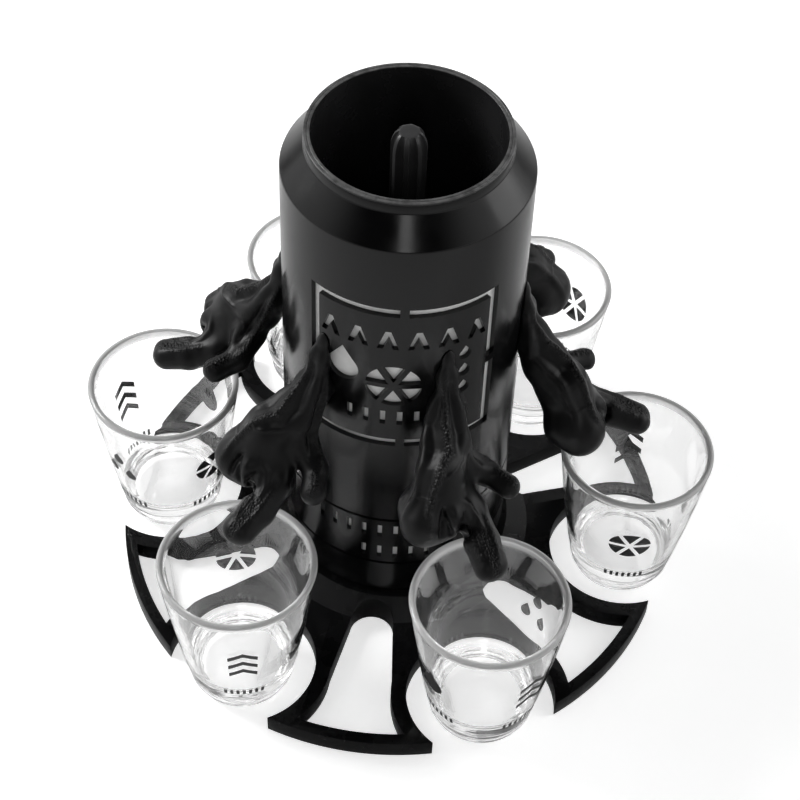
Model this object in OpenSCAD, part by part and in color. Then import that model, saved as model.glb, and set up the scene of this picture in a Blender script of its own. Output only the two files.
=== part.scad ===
// Party shot dispenser: a can-shaped reservoir on a star base. Lifting the stem in its mouth lets
// the drink run through six pointing hands into six shot glasses that stand between the arms.
// Millimetres, +Z up, origin on the axis at table height, front towards -Y.

/* [Layout] */
// Distance from the middle axis to each glass's axis
glass_ring_r = 70; // [69:0.5:72]

/* [Base] */
// Radius of the star, to the arms' tips
base_r = 82.5; // [81:0.5:86]
// Thickness of the arms
plate_h = 5.8; // [4:0.1:7]
// Radius of the notch round each glass
notch_r = 21.5; // [19:0.25:22]
// Width of the band that closes each window at the rim
band_w = 3.3; // [2:0.1:6]
// Width of an arm's side between its window and the notch
side_w = 4.4; // [3.5:0.1:5.5]
// Radius of a window's round inner end
window_end_r = 6.4; // [5:0.1:7.5]
// Distance from the axis to the centre of that round end
window_end_x = 41.8; // [41:0.1:46]
// Radius of the hub's flat top
hub_r = 34.5; // [34:0.1:35.2]
// Height of the hub's flat top
hub_h = 10; // [8:0.5:12]
// Radius at which the hub's slope meets the arms
hub_skirt_r = 41; // [38:0.5:46]
// Width across the flats of the six-sided boss that locates the tower
boss_af = 40; // [30:0.5:46]
// Height of the boss above the hub
boss_h = 6; // [4:0.5:8]

/* [Glass] */
// Height of a glass
glass_h = 52.7; // [48:0.1:56]
// Outer radius of the rim
glass_rim_r = 22.15; // [20:0.05:23.5]
// Radius of the foot, before its rounded heel
glass_foot_r = 14.2; // [13:0.1:16]
// Radius of the heel
glass_heel_r = 3.4; // [1:0.1:5]
// How far the glass's side bows outwards halfway up
glass_bow = 0.5; // [0:0.1:1.5]
// Wall at the rim
glass_wall = 1.9; // [1.5:0.1:2.5]
// Thickness of the solid foot
glass_floor = 9.5; // [6:0.5:14]
// Radius of the rounding inside the glass, round its floor
well_round_r = 6; // [2:0.5:8]

/* [Can] */
// Outer radius of the can
can_r = 33; // [32.5:0.1:33.8]
// Height of the can's side, from its lower edge to the shoulder
can_h = 139.5; // [136:0.5:150]
// Wall of the can
can_wall = 1.4; // [1.2:0.1:2]
// Shadow gap between the hub and the can's lower edge
shadow_gap = 1; // [0.5:0.1:2]
// Height of the shoulder's cone
cone_h = 7.3; // [5:0.1:10]
// Outer radius of the neck
neck_r = 26.8; // [25.5:0.1:28]
// Height of the neck
neck_h = 2.6; // [1.5:0.1:5]
// Wall of the neck
neck_wall = 0.8; // [0.8:0.1:1.2]
// Wall of the shoulder's cone
cone_wall = 1.6; // [1.2:0.1:2]

/* [Label] */
// Width of the cut-out frame, measured round the can
label_w = 53.6; // [50:0.1:56]
// Height of the frame
label_h = 53; // [48:0.5:56]
// Height of the frame's middle above the can's lower edge
label_z = 93; // [91:0.5:95]
// How far the frame is turned from the front
label_turn = 8.5; // [4:0.5:12]
// Width of the frame's slots
slot_w = 2.8; // [2:0.1:3.2]
// Bridge left in the middle of each of the frame's sides
bridge_w = 2.4; // [2:0.1:4]
// Radius of the citrus wheel
wheel_r = 7.5; // [6:0.1:8]
// How far the wheel is turned from the front
wheel_turn = 4.5; // [3:0.5:6]
// Height of the wheel's middle below the frame's middle
wheel_down = 2.4; // [0:0.1:4]
// Radius of the round end of the large drop
drop_r = 4.6; // [3:0.1:4.8]
// How far the large drop is turned from the front
drop_turn = -20; // [-22:0.5:-19]
// Height of its round end's middle above the frame's middle
drop_up = 1; // [-1:0.1:3]
// Radius of the round end of a small drop
small_drop_r = 1.8; // [1.2:0.1:2]
// Distance between the small drops
small_drop_pitch = 6.5; // [5.6:0.1:7]
// How far the column of small drops is turned from the front
column_turn = 38; // [37:0.5:42]
// Width of a stroke in the two rows
stroke_w = 1.5; // [1.2:0.1:1.8]
// Height of a chevron in the top row
chevron_h = 6.4; // [5:0.1:7]
// Width of a chevron
chevron_w = 5.8; // [5:0.1:6.4]
// Angle between chevrons
chevron_step = 14; // [13:0.5:14.5]
// Height of a dash in the bottom row
dash_h = 5.2; // [4:0.1:6]
// Angle between dashes
dash_step = 8; // [6:0.5:8.5]
// Distance of both rows' middles from the frame's edges
row_in = 11.5; // [10:0.1:12]

/* [Lower band] */
// Height of the lower groove above the can's lower edge
band_z = 13.6; // [8:0.1:20]
// Distance between the two grooves
band_h = 19.9; // [16:0.1:24]
// Width of a groove
groove_w = 1; // [0.4:0.1:1.2]
// Depth of a groove
groove_d = 0.6; // [0.3:0.1:0.9]
// Width of a tick
tick_w = 1.3; // [0.8:0.1:1.6]
// Height of a tick
tick_h = 5.2; // [3:0.1:6]
// Distance between ticks, measured round the can
tick_pitch = 4.6; // [3.5:0.1:6]
// Distance of the two rows of ticks from the grooves
tick_in = 2.6; // [2:0.1:4]

/* [Sleeve] */
// Wall of the white sleeve behind the cut-outs
sleeve_wall = 1; // [0.8:0.1:1.4]
// Height of the sleeve's top above the can's lower edge
sleeve_top = 126; // [122:0.5:130]
// Width of the ledge that carries the distributor
ledge_w = 2; // [1.5:0.1:3]
// Height of the ledge
ledge_h = 3; // [2:0.1:5]

/* [Tower foot] */
// Height of the foot disc that closes the can
foot_h = 9; // [8.5:0.5:14]

/* [Reservoir] */
// Wall of the reservoir cup
cup_wall = 0.8; // [0.8:0.1:1.2]
// Height of the cup's lip on top of the neck
lip_h = 0.8; // [0.6:0.1:1.5]
// Thickness of the cup's floor at its lowest point
cup_floor = 1.6; // [1.2:0.1:2.5]
// Rise of the floor from the seat to the wall
cup_fall = 3.5; // [1:0.5:6]
// Outer radius of the spout under the floor
spout_r = 10.9; // [10:0.1:12.5]
// Length of the spout
spout_l = 5; // [4.5:0.1:5.5]
// Radius of the seat's bore
seat_r = 6; // [5:0.1:6.5]
// Chamfer round the seat's upper edge
seat_edge = 1; // [0.5:0.1:1.4]

/* [Distributor] */
// Height of the hands' spigots above the can's lower edge
spigot_z = 83; // [81:0.5:85]
// Height of the distributor's top above the spigots
puck_up = 8; // [7:0.5:9]
// Depth of the distributor below the spigots
puck_down = 6; // [5:0.5:8]
// Depth of its skirt below the spigots, down to the sleeve's ledge
skirt_down = 22; // [20:0.5:24]
// Wall of the skirt
skirt_wall = 2; // [1.5:0.1:3]
// Depth of the chamber's floor below the spigots
chamber_down = 2.6; // [2.2:0.1:4]
// Outer radius of the boss that guides the stem's pin
guide_r = 5; // [4:0.1:7]

/* [Valve stem] */
// Radius of the stem
stem_r = 4.75; // [4:0.05:5.5]
// Radius of the flat tip
stem_tip_r = 2.15; // [1.5:0.05:3]
// Height of the rounded nose under the tip
nose_h = 5.5; // [4:0.1:8]
// Number of flutes
flutes = 8; // [6:1:10]
// Radius of a flute
flute_r = 0.9; // [0.5:0.05:1.1]
// Length of the flutes, measured down from the tip
flute_l = 30; // [12:0.5:45]
// Radius of the plug's head
plug_head_r = 8; // [7.2:0.1:9]
// Height of the plug's head
plug_head_h = 6; // [4:0.1:8]
// How steeply the underside of the plug's head rises
plug_lean = 33; // [25:1:40]
// Height of the stem's tip above the rim of the reservoir
tip_up = 0; // [-2:0.5:4]
// Radius of the guide pin
pin_r = 2.5; // [2:0.1:3]
// Length of the guide pin that stays in its bore when the stem is lifted
pin_hold = 4.4; // [3:0.1:6]
// How far the stem lifts
stem_lift = 10; // [8:0.5:12]

/* [Hand] */
// Radius of the index finger
finger_r = 4.4; // [3.8:0.1:4.6]
// Length of the index finger, from its knuckle to the middle of its round tip
finger_l = 16.5; // [15:0.5:18]
// How steeply the finger falls
finger_fall = 18; // [14:1:22]
// Gap between the glass's rim and the underside of the fingertip
drip_gap = 8; // [6:0.5:10]
// Distance of the fingertip's middle inside the glass's axis
tip_in = 1.8; // [0:0.1:3]
// Wrist, from the index knuckle: out, across and up
wrist = [-12.5, -3, 14.5]; // [-20:0.5:20]
// Heel of the palm
palm = [-10, -5.5, 7]; // [-20:0.5:20]
// Highest bone of the back of the hand
back = [-4.5, -7.5, 12.5]; // [-20:0.5:20]
// Middle knuckle
middle = [2, -7, 3.5]; // [-20:0.5:20]
// Bent joint of the middle finger
middle_bend = [3.5, -8.5, 0.5]; // [-20:0.5:20]
// Ring knuckle
ring = [2, -14, 3]; // [-20:0.5:20]
// Fist formed by the curled ring and little fingers
fist = [-2, -14, 1]; // [-20:0.5:20]
// Root of the thumb
thumb_root = [-9, 0.5, 8.5]; // [-20:0.5:20]
// Middle joint of the thumb
thumb_joint = [-6.5, 7, 4.5]; // [-20:0.5:20]
// Tip of the thumb
thumb_tip = [-1, 11, 3]; // [-20:0.5:20]
// Bend of the drink's channel inside the palm
channel_bend = [-9, -3, 9]; // [-20:0.5:20]
// Radius of the wrist
wrist_r = 6.2; // [5.5:0.1:7]
// Radius of the palm
palm_r = 5.2; // [4.8:0.1:6]
// Radius of the back of the hand
back_r = 5.7; // [5:0.1:6.5]
// Radius of the middle and ring knuckles
knuckle_r = 5.1; // [4.5:0.1:6]
// Radius of the curled middle finger
curl_r = 3.9; // [3:0.1:4.5]
// Radius of the thumb's root
thumb_root_r = 4.8; // [4:0.1:5.5]
// Radius of the thumb
thumb_r = 3.4; // [3:0.1:4]
// Radius of the fist
fist_r = 7.2; // [6:0.1:8]
// Height of the arm's pointed root above the spigot
arm_point_up = 20; // [18:0.5:22]
// Height above the spigot at which the arm swells
arm_up = 14; // [10:0.5:16]
// Radius of the arm at the spigot
arm_r = 3.9; // [3.8:0.1:5]
// Radius of the spigot that plugs into the distributor
spigot_r = 3.5; // [3:0.1:3.6]
// Length of the spigot inside the can
spigot_l = 10; // [8:0.5:11]
// Radius of the drink's channel at the spigot
channel_r = 1.6; // [1.4:0.1:1.8]
// How much narrower the channel gets with each stretch
channel_step = 0.1; // [0.05:0.05:0.15]

/* [Seals] */
// Thickness of the small O-rings on the spigots
seal_d = 1.4; // [1:0.1:1.6]
// Thickness of the cup's O-ring
cup_seal_d = 2; // [1.5:0.1:2.4]
// Thickness of the plug's O-ring
stem_seal_d = 1.6; // [1.2:0.1:2]

/* [Clearances] */
// Gap round the boss in the tower's foot
boss_fit = 0.3; // [0.3:0.05:0.6]
// Gap between parts that are pushed together
push_fit = 0.05; // [0.03:0.01:0.1]
// Gap round the guide pin
pin_fit = 0.05; // [0.03:0.01:0.1]
// Gap between the plug and its seat
plug_fit = 0.3; // [0.3:0.05:0.5]

/* [Hidden] */
$fn = 96;
over = 1;
lap = 0.1;
// The wall curves away from a flat cutter, so that starts this far inside it.
cut_in = 2;
stations = 6;
step = 360 / stations;
hand_turn = step / 2;
front = -90;
arm_azimuths = [for (k = [0:stations - 1]) front + k * step];
hand_azimuths = [for (k = [0:stations - 1]) front + hand_turn + k * step];

can_z = hub_h + shadow_gap;
shoulder_z = can_z + can_h;
cone_z = shoulder_z + cone_h;
neck_z = cone_z + neck_h;
rim_z = neck_z + lip_h;
can_in = can_r - can_wall;
neck_in = neck_r - neck_wall;
sleeve_r = can_in - push_fit;
sleeve_in = sleeve_r - sleeve_wall;
sleeve_z = hub_h + foot_h;

spigot_h = can_z + spigot_z;
puck_top = spigot_h + puck_up;
puck_bottom = spigot_h - puck_down;
puck_r = sleeve_in - push_fit;
ledge_top = spigot_h - skirt_down;
chamber_z = spigot_h - chamber_down;
chamber_r = spout_r + push_fit;

cup_r = neck_in - push_fit;
cup_in = cup_r - cup_wall;
seat_z = puck_top + cup_floor;
spout_z = puck_top - spout_l;

tip_z = rim_z + tip_up;
plug_r = seat_r - plug_fit;
plug_z = seat_z + plug_fit;
pin_top = spout_z;
pin_l = pin_top - chamber_z + pin_hold + stem_lift;
pin_bottom = pin_top - pin_l;
guide_bottom = pin_bottom - over;

socket_r = spigot_r + push_fit;
socket_in = can_r - spigot_l - over;

label_mid = can_z + label_z;
label_azimuth = front + label_turn;
label_half = label_w / 2 / can_r * 180 / PI;

fingertip = [glass_ring_r - tip_in, 0, glass_h + drip_gap + finger_r];
knuckle = fingertip - finger_l * [cos(finger_fall), 0, -sin(finger_fall)];
arm_point = [can_r - 0.4, 0, spigot_h + arm_point_up];
arm_root = [can_r - 1.2, 0, spigot_h + arm_up];
arm_foot = [can_r + 2.2, -1, spigot_h];

limb_sides = 14;
limb_steps = 3;

black = [0.03, 0.03, 0.035];
inner_black = [0.02, 0.02, 0.02];
white = [0.95, 0.95, 0.94];
clear = [0.85, 0.9, 0.92, 0.35];
seal_black = [0.08, 0.08, 0.08];

// ---- shared shapes ----

// A ring about the axis, between two radii and two heights
module ring(r_in, r_out, z_low, z_high) {
    translate([0, 0, z_low])
        difference() {
            cylinder(r = r_out, h = z_high - z_low);
            translate([0, 0, -over])
                cylinder(r = r_in, h = z_high - z_low + 2 * over);
        }
}

// A round bar from one point to another
module bar(from, to, r) {
    run = to - from;
    length = norm(run);
    translate(from)
        rotate([0, acos(run[2] / length), atan2(run[1], run[0])])
            cylinder(r = r, h = length);
}

// An O-ring about the axis, with its middle at height z
module o_ring(r_mid, d, z) {
    translate([0, 0, z])
        rotate_extrude()
            translate([r_mid, 0])
                circle(d = d, $fn = 32);
}

// A round-ended cone that follows joints [point, radius], as one closed surface
function spline(a, b, c, d, t) =
    0.5 * (2 * b + (c - a) * t + (2 * a - 5 * b + 4 * c - d) * t * t
        + (3 * b - a - 3 * c + d) * t * t * t);
function joint(list, i) = list[max(0, min(len(list) - 1, i))];
function unit(v) = v / norm(v);

module limb(points, radii) {
    last = len(points) - 1;
    path = [for (i = [0:last - 1], s = [0:limb_steps - 1])
            spline(joint(points, i - 1), points[i], points[i + 1], joint(points, i + 2),
                s / limb_steps), points[last]];
    r = [for (i = [0:last - 1], s = [0:limb_steps - 1])
            radii[i] + (radii[i + 1] - radii[i]) * s / limb_steps, radii[last]];
    n = len(path) - 1;
    way = [for (i = [0:n]) unit(joint(path, i + 1) - joint(path, i - 1))];
    // Each ring is [middle, direction, radius]; the ends are closed by rounded caps.
    caps = [30, 60];
    rings = [
        for (a = [caps[1], caps[0]]) [path[0] - way[0] * r[0] * sin(a), way[0], r[0] * cos(a)],
        for (i = [0:n]) [path[i], way[i], r[i]],
        for (a = caps) [path[n] + way[n] * r[n] * sin(a), way[n], r[n] * cos(a)]
    ];
    verts = [
        path[0] - way[0] * r[0],
        for (k = rings, s = [0:limb_sides - 1])
            let (u = unit(cross([0, 1, 0], k[1])), v = cross(k[1], u), a = s * 360 / limb_sides)
                k[0] + k[2] * (u * cos(a) + v * sin(a)),
        path[n] + way[n] * r[n]
    ];
    m = limb_sides;
    top = len(verts) - 1;
    faces = [
        for (s = [0:m - 1]) [0, 1 + (s + 1) % m, 1 + s],
        for (k = [0:len(rings) - 2], s = [0:m - 1], half = [0, 1])
            let (a = 1 + k * m + s, b = 1 + k * m + (s + 1) % m)
                half == 0 ? [a, b, b + m] : [a, b + m, a + m],
        for (s = [0:m - 1]) [top, top - m + s, top - m + (s + 1) % m]
    ];
    polyhedron(points = verts, faces = [for (f = faces) [f[0], f[2], f[1]]]);
}

// ---- base ----

module window_2d() {
    mid = [glass_ring_r * cos(hand_turn), glass_ring_r * sin(hand_turn)];
    wide = mid[1] - notch_r - side_w;
    translate([window_end_x, 0])
        circle(r = window_end_r);
    polygon([[window_end_x, -window_end_r], [mid[0], -wide], [mid[0], wide],
        [window_end_x, window_end_r]]);
    difference() {
        circle(r = base_r - band_w);
        translate([mid[0] - 2 * base_r - lap, -base_r])
            square(2 * base_r);
        for (side = [-1, 1])
            translate([mid[0], side * mid[1]])
                circle(r = notch_r + side_w);
        for (side = [-1, 1])
            translate([0, side > 0 ? mid[1] : -mid[1] - base_r])
                square([2 * base_r, base_r]);
    }
}

module base_star() {
    color(black)
        union() {
            difference() {
                union() {
                    linear_extrude(plate_h)
                        difference() {
                            circle(r = base_r);
                            for (a = hand_azimuths)
                                rotate(a)
                                    translate([glass_ring_r, 0])
                                        circle(r = notch_r);
                        }
                    translate([0, 0, plate_h])
                        cylinder(r1 = hub_skirt_r, r2 = hub_r, h = hub_h - plate_h);
                }
                for (a = arm_azimuths)
                    rotate(a)
                        translate([0, 0, -over])
                            linear_extrude(hub_h + 2 * over)
                                window_2d();
            }
            translate([0, 0, hub_h - over])
                rotate(front)
                    cylinder(d = boss_af / cos(180 / 6), h = boss_h + over, $fn = 6);
        }
}

// ---- glass ----

function glass_side(t) =
    [glass_foot_r + (glass_rim_r - glass_foot_r) * t + glass_bow * sin(180 * t), glass_h * t];

module glass() {
    // The rim is a half round as wide as the wall, and the heel a quarter round.
    round_r = glass_wall / 2;
    steps = 10;
    side = [for (i = [0:steps]) glass_side(0.12 + 0.84 * i / steps)];
    heel = [for (a = [-90:15:0])
        [glass_foot_r - glass_heel_r + glass_heel_r * cos(a), glass_heel_r * (1 + sin(a))]];
    rim = [for (a = [0:20:180])
        [glass_rim_r - round_r + round_r * cos(a), glass_h - round_r + round_r * sin(a)]];
    // The inside follows the side down to the rounded edge of the foot.
    well_h = glass_floor + well_round_r;
    inner = [for (i = [steps:-1:0])
        if (side[i][1] > well_h + lap) [side[i][0] - glass_wall, side[i][1]]];
    well_r = glass_side(well_h / glass_h)[0] - glass_wall;
    well = [for (a = [0:-15:-90])
        [well_r - well_round_r * (1 - cos(a)), well_h + well_round_r * sin(a)]];
    color(clear)
        rotate_extrude()
            polygon(concat([[0, 0]], heel, side, rim, inner, well, [[0, glass_floor]]));
}

module glass_at(k) {
    rotate(hand_azimuths[k - 1])
        translate([glass_ring_r, 0, 0])
            glass();
}

// ---- can ----

// A block that cuts through the can's wall, between two azimuths and two heights
module wall_slot(a0, a1, z0, z1, reach = over) {
    rotate(a0)
        rotate_extrude(angle = a1 - a0)
            translate([can_in - reach, z0])
                square([can_wall + 2 * reach, z1 - z0]);
}

// A flat shape cut through the can's wall
module wall_shape(azimuth, z) {
    rotate(azimuth)
        translate([can_in - cut_in, 0, z])
            rotate([90, 0, 90])
                linear_extrude(cut_in + can_wall + over)
                    children();
}

module citrus_wheel_2d() {
    difference() {
        circle(r = wheel_r);
        for (a = [0, 60, 120])
            rotate(a)
                square([3 * wheel_r, wheel_r / 5], center = true);
    }
}

module drop_2d(r) {
    lean = 35;
    circle(r = r);
    polygon([[r * cos(lean), r * sin(lean)], [0, r / sin(lean)], [-r * cos(lean), r * sin(lean)]]);
}

module chevron_2d() {
    low = -chevron_h / 2;
    half = chevron_w / 2;
    polygon([[-half, low], [stroke_w - half, low], [0, -low - 2 * stroke_w], [half - stroke_w, low],
        [half, low], [stroke_w / 2, -low], [-stroke_w / 2, -low]]);
}

// The frame: four corners, with a bridge between each two
module label_frame(low, high) {
    a_slot = slot_w / can_r * 180 / PI;
    a_bridge = bridge_w / 2 / can_r * 180 / PI;
    left = label_azimuth - label_half;
    right = label_azimuth + label_half;
    difference() {
        wall_slot(left, right, low, high);
        wall_slot(left + a_slot, right - a_slot, low + slot_w, high - slot_w, 2 * over);
        wall_slot(label_azimuth - a_bridge, label_azimuth + a_bridge, low - over, high + over, 2 * over);
        wall_slot(left - a_bridge, right + a_bridge, label_mid - bridge_w / 2, label_mid + bridge_w / 2,
            2 * over);
    }
}

module label_cuts() {
    low = label_mid - label_h / 2;
    high = label_mid + label_h / 2;
    label_frame(low, high);
    wall_shape(front + drop_turn, label_mid + drop_up)
        drop_2d(drop_r);
    wall_shape(front + wheel_turn, label_mid - wheel_down)
        citrus_wheel_2d();
    for (i = [-1:1])
        wall_shape(front + column_turn, label_mid + small_drop_pitch * i)
            drop_2d(small_drop_r);
    for (i = [-2.5:2.5])
        wall_shape(label_azimuth + chevron_step * i, high - row_in)
            chevron_2d();
    // The dashes stay clear of the front hands' bores.
    for (i = [-2:2])
        wall_shape(front + dash_step * i, low + row_in)
            square([stroke_w, dash_h], center = true);
}

module band_cuts() {
    low = can_z + band_z;
    high = low + band_h;
    for (z = [low, high])
        ring(can_r - groove_d, can_r + over, z - groove_w / 2, z + groove_w / 2);
    a_tick = tick_w / can_r * 180 / PI;
    a_pitch = tick_pitch / can_r * 180 / PI;
    for (i = [-5:5])
        let (a = label_azimuth + i * a_pitch)
            wall_slot(a - a_tick / 2, a + a_tick / 2, high - tick_in - tick_h, high - tick_in);
    for (i = [-2:2])
        let (a = label_azimuth + i * a_pitch)
            wall_slot(a - a_tick / 2, a + a_tick / 2, low + tick_in, low + tick_in + tick_h);
}

module can_shell() {
    color(black)
        difference() {
            rotate_extrude()
                polygon([[can_in, can_z], [can_r, can_z], [can_r, shoulder_z], [neck_r, cone_z],
                    [neck_r, neck_z], [neck_in, neck_z], [neck_in, cone_z],
                    [neck_in, cone_z - cone_wall], [can_in, shoulder_z - cone_wall]]);
            label_cuts();
            band_cuts();
            for (a = hand_azimuths)
                rotate(a)
                    translate([can_in - over, 0, spigot_h])
                        rotate([0, 90, 0])
                            cylinder(r = socket_r, h = can_wall + 2 * over);
        }
}

module inner_sleeve() {
    color(white)
        difference() {
            union() {
                ring(sleeve_in, sleeve_r, sleeve_z, can_z + sleeve_top);
                rotate_extrude()
                    polygon([[sleeve_in + sleeve_wall / 2, ledge_top - ledge_h - ledge_w],
                        [sleeve_in + sleeve_wall / 2, ledge_top], [sleeve_in - ledge_w, ledge_top],
                        [sleeve_in - ledge_w, ledge_top - ledge_h],
                        [sleeve_in, ledge_top - ledge_h - ledge_w]]);
            }
            for (a = hand_azimuths)
                rotate(a)
                    translate([sleeve_in - over, 0, spigot_h])
                        rotate([0, 90, 0])
                            cylinder(r = socket_r, h = sleeve_wall + 2 * over);
        }
}

module tower_foot() {
    color(black)
        difference() {
            translate([0, 0, hub_h])
                cylinder(r = sleeve_r, h = foot_h);
            translate([0, 0, hub_h - over])
                rotate(front)
                    cylinder(d = (boss_af + 2 * boss_fit) / cos(180 / 6),
                        h = boss_h + boss_fit + over, $fn = 6);
        }
}

// ---- reservoir and valve ----

module reservoir_cup() {
    cone_r = seat_r + seat_edge;
    color(inner_black)
        difference() {
            rotate_extrude()
                polygon([[seat_r, spout_z], [spout_r, spout_z], [spout_r, puck_top],
                    [cup_r, puck_top], [cup_r, neck_z], [neck_r, neck_z], [neck_r, rim_z],
                    [cup_in, rim_z], [cup_in, seat_z + cup_fall], [cone_r, seat_z],
                    [seat_r, seat_z - seat_edge]]);
            cup_seal_shape();
        }
}

module cup_seal_shape() {
    o_ring(chamber_r - cup_seal_d / 2, cup_seal_d, (spout_z + puck_top) / 2);
}

module cup_seal() {
    color(seal_black)
        cup_seal_shape();
}

module distributor() {
    color(inner_black)
        difference() {
            union() {
                translate([0, 0, puck_bottom])
                    cylinder(r = puck_r, h = puck_top - puck_bottom);
                ring(puck_r - skirt_wall, puck_r, ledge_top, puck_bottom + over);
                translate([0, 0, guide_bottom])
                    cylinder(r = guide_r, h = puck_bottom - guide_bottom + over);
            }
            translate([0, 0, chamber_z])
                cylinder(r = chamber_r, h = puck_top - chamber_z + over);
            translate([0, 0, pin_bottom - over / 2])
                cylinder(r = pin_r + pin_fit, h = chamber_z - pin_bottom + over);
            for (a = hand_azimuths)
                rotate(a) {
                    bar([0, 0, spigot_h], [puck_r, 0, spigot_h], channel_r);
                    bar([socket_in, 0, spigot_h], [can_r, 0, spigot_h], socket_r);
                }
        }
}

module valve_stem() {
    color(inner_black)
        difference() {
            union() {
                rotate_extrude()
                    polygon([[0, pin_top], [plug_r, pin_top], [plug_r, plug_z],
                        [plug_head_r, plug_z + (plug_head_r - plug_r) * tan(plug_lean)],
                        [stem_r, plug_z + plug_head_h],
                        for (i = [0:6])
                            [stem_tip_r + (stem_r - stem_tip_r) * cos(15 * i),
                                tip_z - nose_h + nose_h * sin(15 * i)],
                        [0, tip_z]]);
                translate([0, 0, pin_bottom])
                    cylinder(r = pin_r, h = pin_l + over);
            }
            for (i = [0:flutes - 1])
                rotate(front + (i + 0.5) * 360 / flutes)
                    translate([stem_r, 0, tip_z - flute_l])
                        cylinder(r = flute_r, h = flute_l + over, $fn = 24);
            stem_seal_shape();
        }
}

module stem_seal_shape() {
    o_ring(seat_r - push_fit - stem_seal_d / 2, stem_seal_d, (spout_z + seat_z) / 2);
}

module stem_seal() {
    color(seal_black)
        stem_seal_shape();
}

// ---- hands ----

// The flesh of one hand, pointing along +X, with its thumb towards +Y
module hand_flesh() {
    at_wrist = knuckle + wrist;
    at_palm = knuckle + palm;
    at_back = knuckle + back;
    limb([arm_point, arm_root, arm_foot, at_wrist, at_palm, knuckle, fingertip],
        [arm_r / 5, arm_r / 2, arm_r, wrist_r, palm_r, finger_r, finger_r]);
    limb([at_wrist, at_back, knuckle + middle, knuckle + middle_bend],
        [palm_r, back_r, knuckle_r, curl_r]);
    limb([at_back, knuckle + ring], [back_r, knuckle_r]);
    limb([at_palm, knuckle + fist], [palm_r, fist_r]);
    limb([knuckle + thumb_root, knuckle + thumb_joint, knuckle + thumb_tip],
        [thumb_root_r, thumb_r, thumb_r]);
}

// The drink runs in at the spigot, along the arm and the finger, and out under the fingertip.
// Each stretch is narrower than the one before, and runs on a little at both ends to meet it.
module hand_channel() {
    turns = [[can_r - spigot_l, 0, spigot_h], [arm_foot[0], 0, spigot_h], knuckle + channel_bend,
        knuckle, fingertip, fingertip - [0, 0, 2 * finger_r]];
    for (i = [0:len(turns) - 2])
        let (way = unit(turns[i + 1] - turns[i]), r = channel_r - i * channel_step)
            bar(turns[i] - way * r / 2, turns[i + 1] + way * r / 2, r);
}

module hand() {
    difference() {
        union() {
            difference() {
                hand_flesh();
                cylinder(r = can_r + push_fit, h = rim_z);
            }
            difference() {
                bar([can_r - spigot_l, 0, spigot_h], [can_r + arm_r, 0, spigot_h], spigot_r);
                hand_seal_shape();
            }
        }
        hand_channel();
    }
}

module hand_seal_shape() {
    translate([can_r - spigot_l + 2 * seal_d, 0, spigot_h])
        rotate([0, 90, 0])
            o_ring(socket_r - seal_d / 2, seal_d, 0);
}

module hand_at(k) {
    color(black)
        rotate(hand_azimuths[k - 1])
            hand();
}

module hand_seal_at(k) {
    color(seal_black)
        rotate(hand_azimuths[k - 1])
            hand_seal_shape();
}

base_star();
tower_foot();
can_shell();
inner_sleeve();
reservoir_cup();
distributor();
cup_seal();
valve_stem();
stem_seal();
for (k = [1:stations]) {
    hand_at(k);
    hand_seal_at(k);
    glass_at(k);
}
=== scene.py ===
from math import asin, cos, degrees, pi, radians, sin, sqrt, tan

import bpy
import numpy as np
from bpy.props import FloatProperty, FloatVectorProperty, IntProperty, PointerProperty
from mathutils import Matrix, Vector


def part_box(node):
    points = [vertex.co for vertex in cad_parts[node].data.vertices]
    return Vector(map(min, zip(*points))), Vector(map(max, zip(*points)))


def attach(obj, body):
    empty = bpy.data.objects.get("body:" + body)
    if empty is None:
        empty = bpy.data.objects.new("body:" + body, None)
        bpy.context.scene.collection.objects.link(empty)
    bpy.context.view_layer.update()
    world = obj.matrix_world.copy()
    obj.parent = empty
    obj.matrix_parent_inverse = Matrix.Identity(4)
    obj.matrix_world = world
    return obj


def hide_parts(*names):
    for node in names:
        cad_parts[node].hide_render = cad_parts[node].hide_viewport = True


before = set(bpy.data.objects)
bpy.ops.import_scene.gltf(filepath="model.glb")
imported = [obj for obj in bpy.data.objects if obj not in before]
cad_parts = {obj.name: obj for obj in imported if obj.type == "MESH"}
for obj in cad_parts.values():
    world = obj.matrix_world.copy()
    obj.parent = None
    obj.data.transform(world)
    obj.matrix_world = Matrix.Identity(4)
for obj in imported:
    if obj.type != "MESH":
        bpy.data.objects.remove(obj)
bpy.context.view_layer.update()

bl_info = {
    "name": "Party Shot Dispenser",
    "version": (1, 0, 0),
    "blender": (4, 5, 0),
    "location": "View3D > Sidebar > Dispenser",
    "description": "Dresses a shot dispenser with a can-shaped tower, pointing hands and glasses",
    "category": "Add Mesh",
}

MM = 0.001
STATIONS = range(1, 7)
STEP = 2 * pi / 6
HAND_TURNS = {k: -pi / 3 + (k - 1) * STEP for k in STATIONS}
FRONT = -pi / 2
# Angles in degrees: edges sharper than these are shaded as edges
SHARP = 30
GLASS_SHARP = 50
# How far a block that cuts reaches past what it cuts, and how far joined blocks overlap
SPARE = 1 * MM
LAP = 0.5 * MM
# The floor lies this far under the table's height, so that it doesn't meet the feet's faces
FLOOR_DROP = 2e-5
# Where the ink's and the motifs' lengths are measured, as a share of the glass's rim radius
INK_SHARE = 0.85

CAN_LOW, CAN_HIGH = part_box("can_shell")
CAN_R = CAN_HIGH.x
CUP_LOW, CUP_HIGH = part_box("reservoir_cup")
STEM_LOW, STEM_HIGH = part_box("valve_stem")
GLASS_LOW, GLASS_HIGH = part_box("glass_2")
GLASS_RING = (GLASS_LOW.x + GLASS_HIGH.x) / 2
GLASS_R = (GLASS_HIGH.x - GLASS_LOW.x) / 2
GLASS_H = GLASS_HIGH.z
BASE_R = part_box("base_star")[1].y


# ---- properties ----

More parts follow.
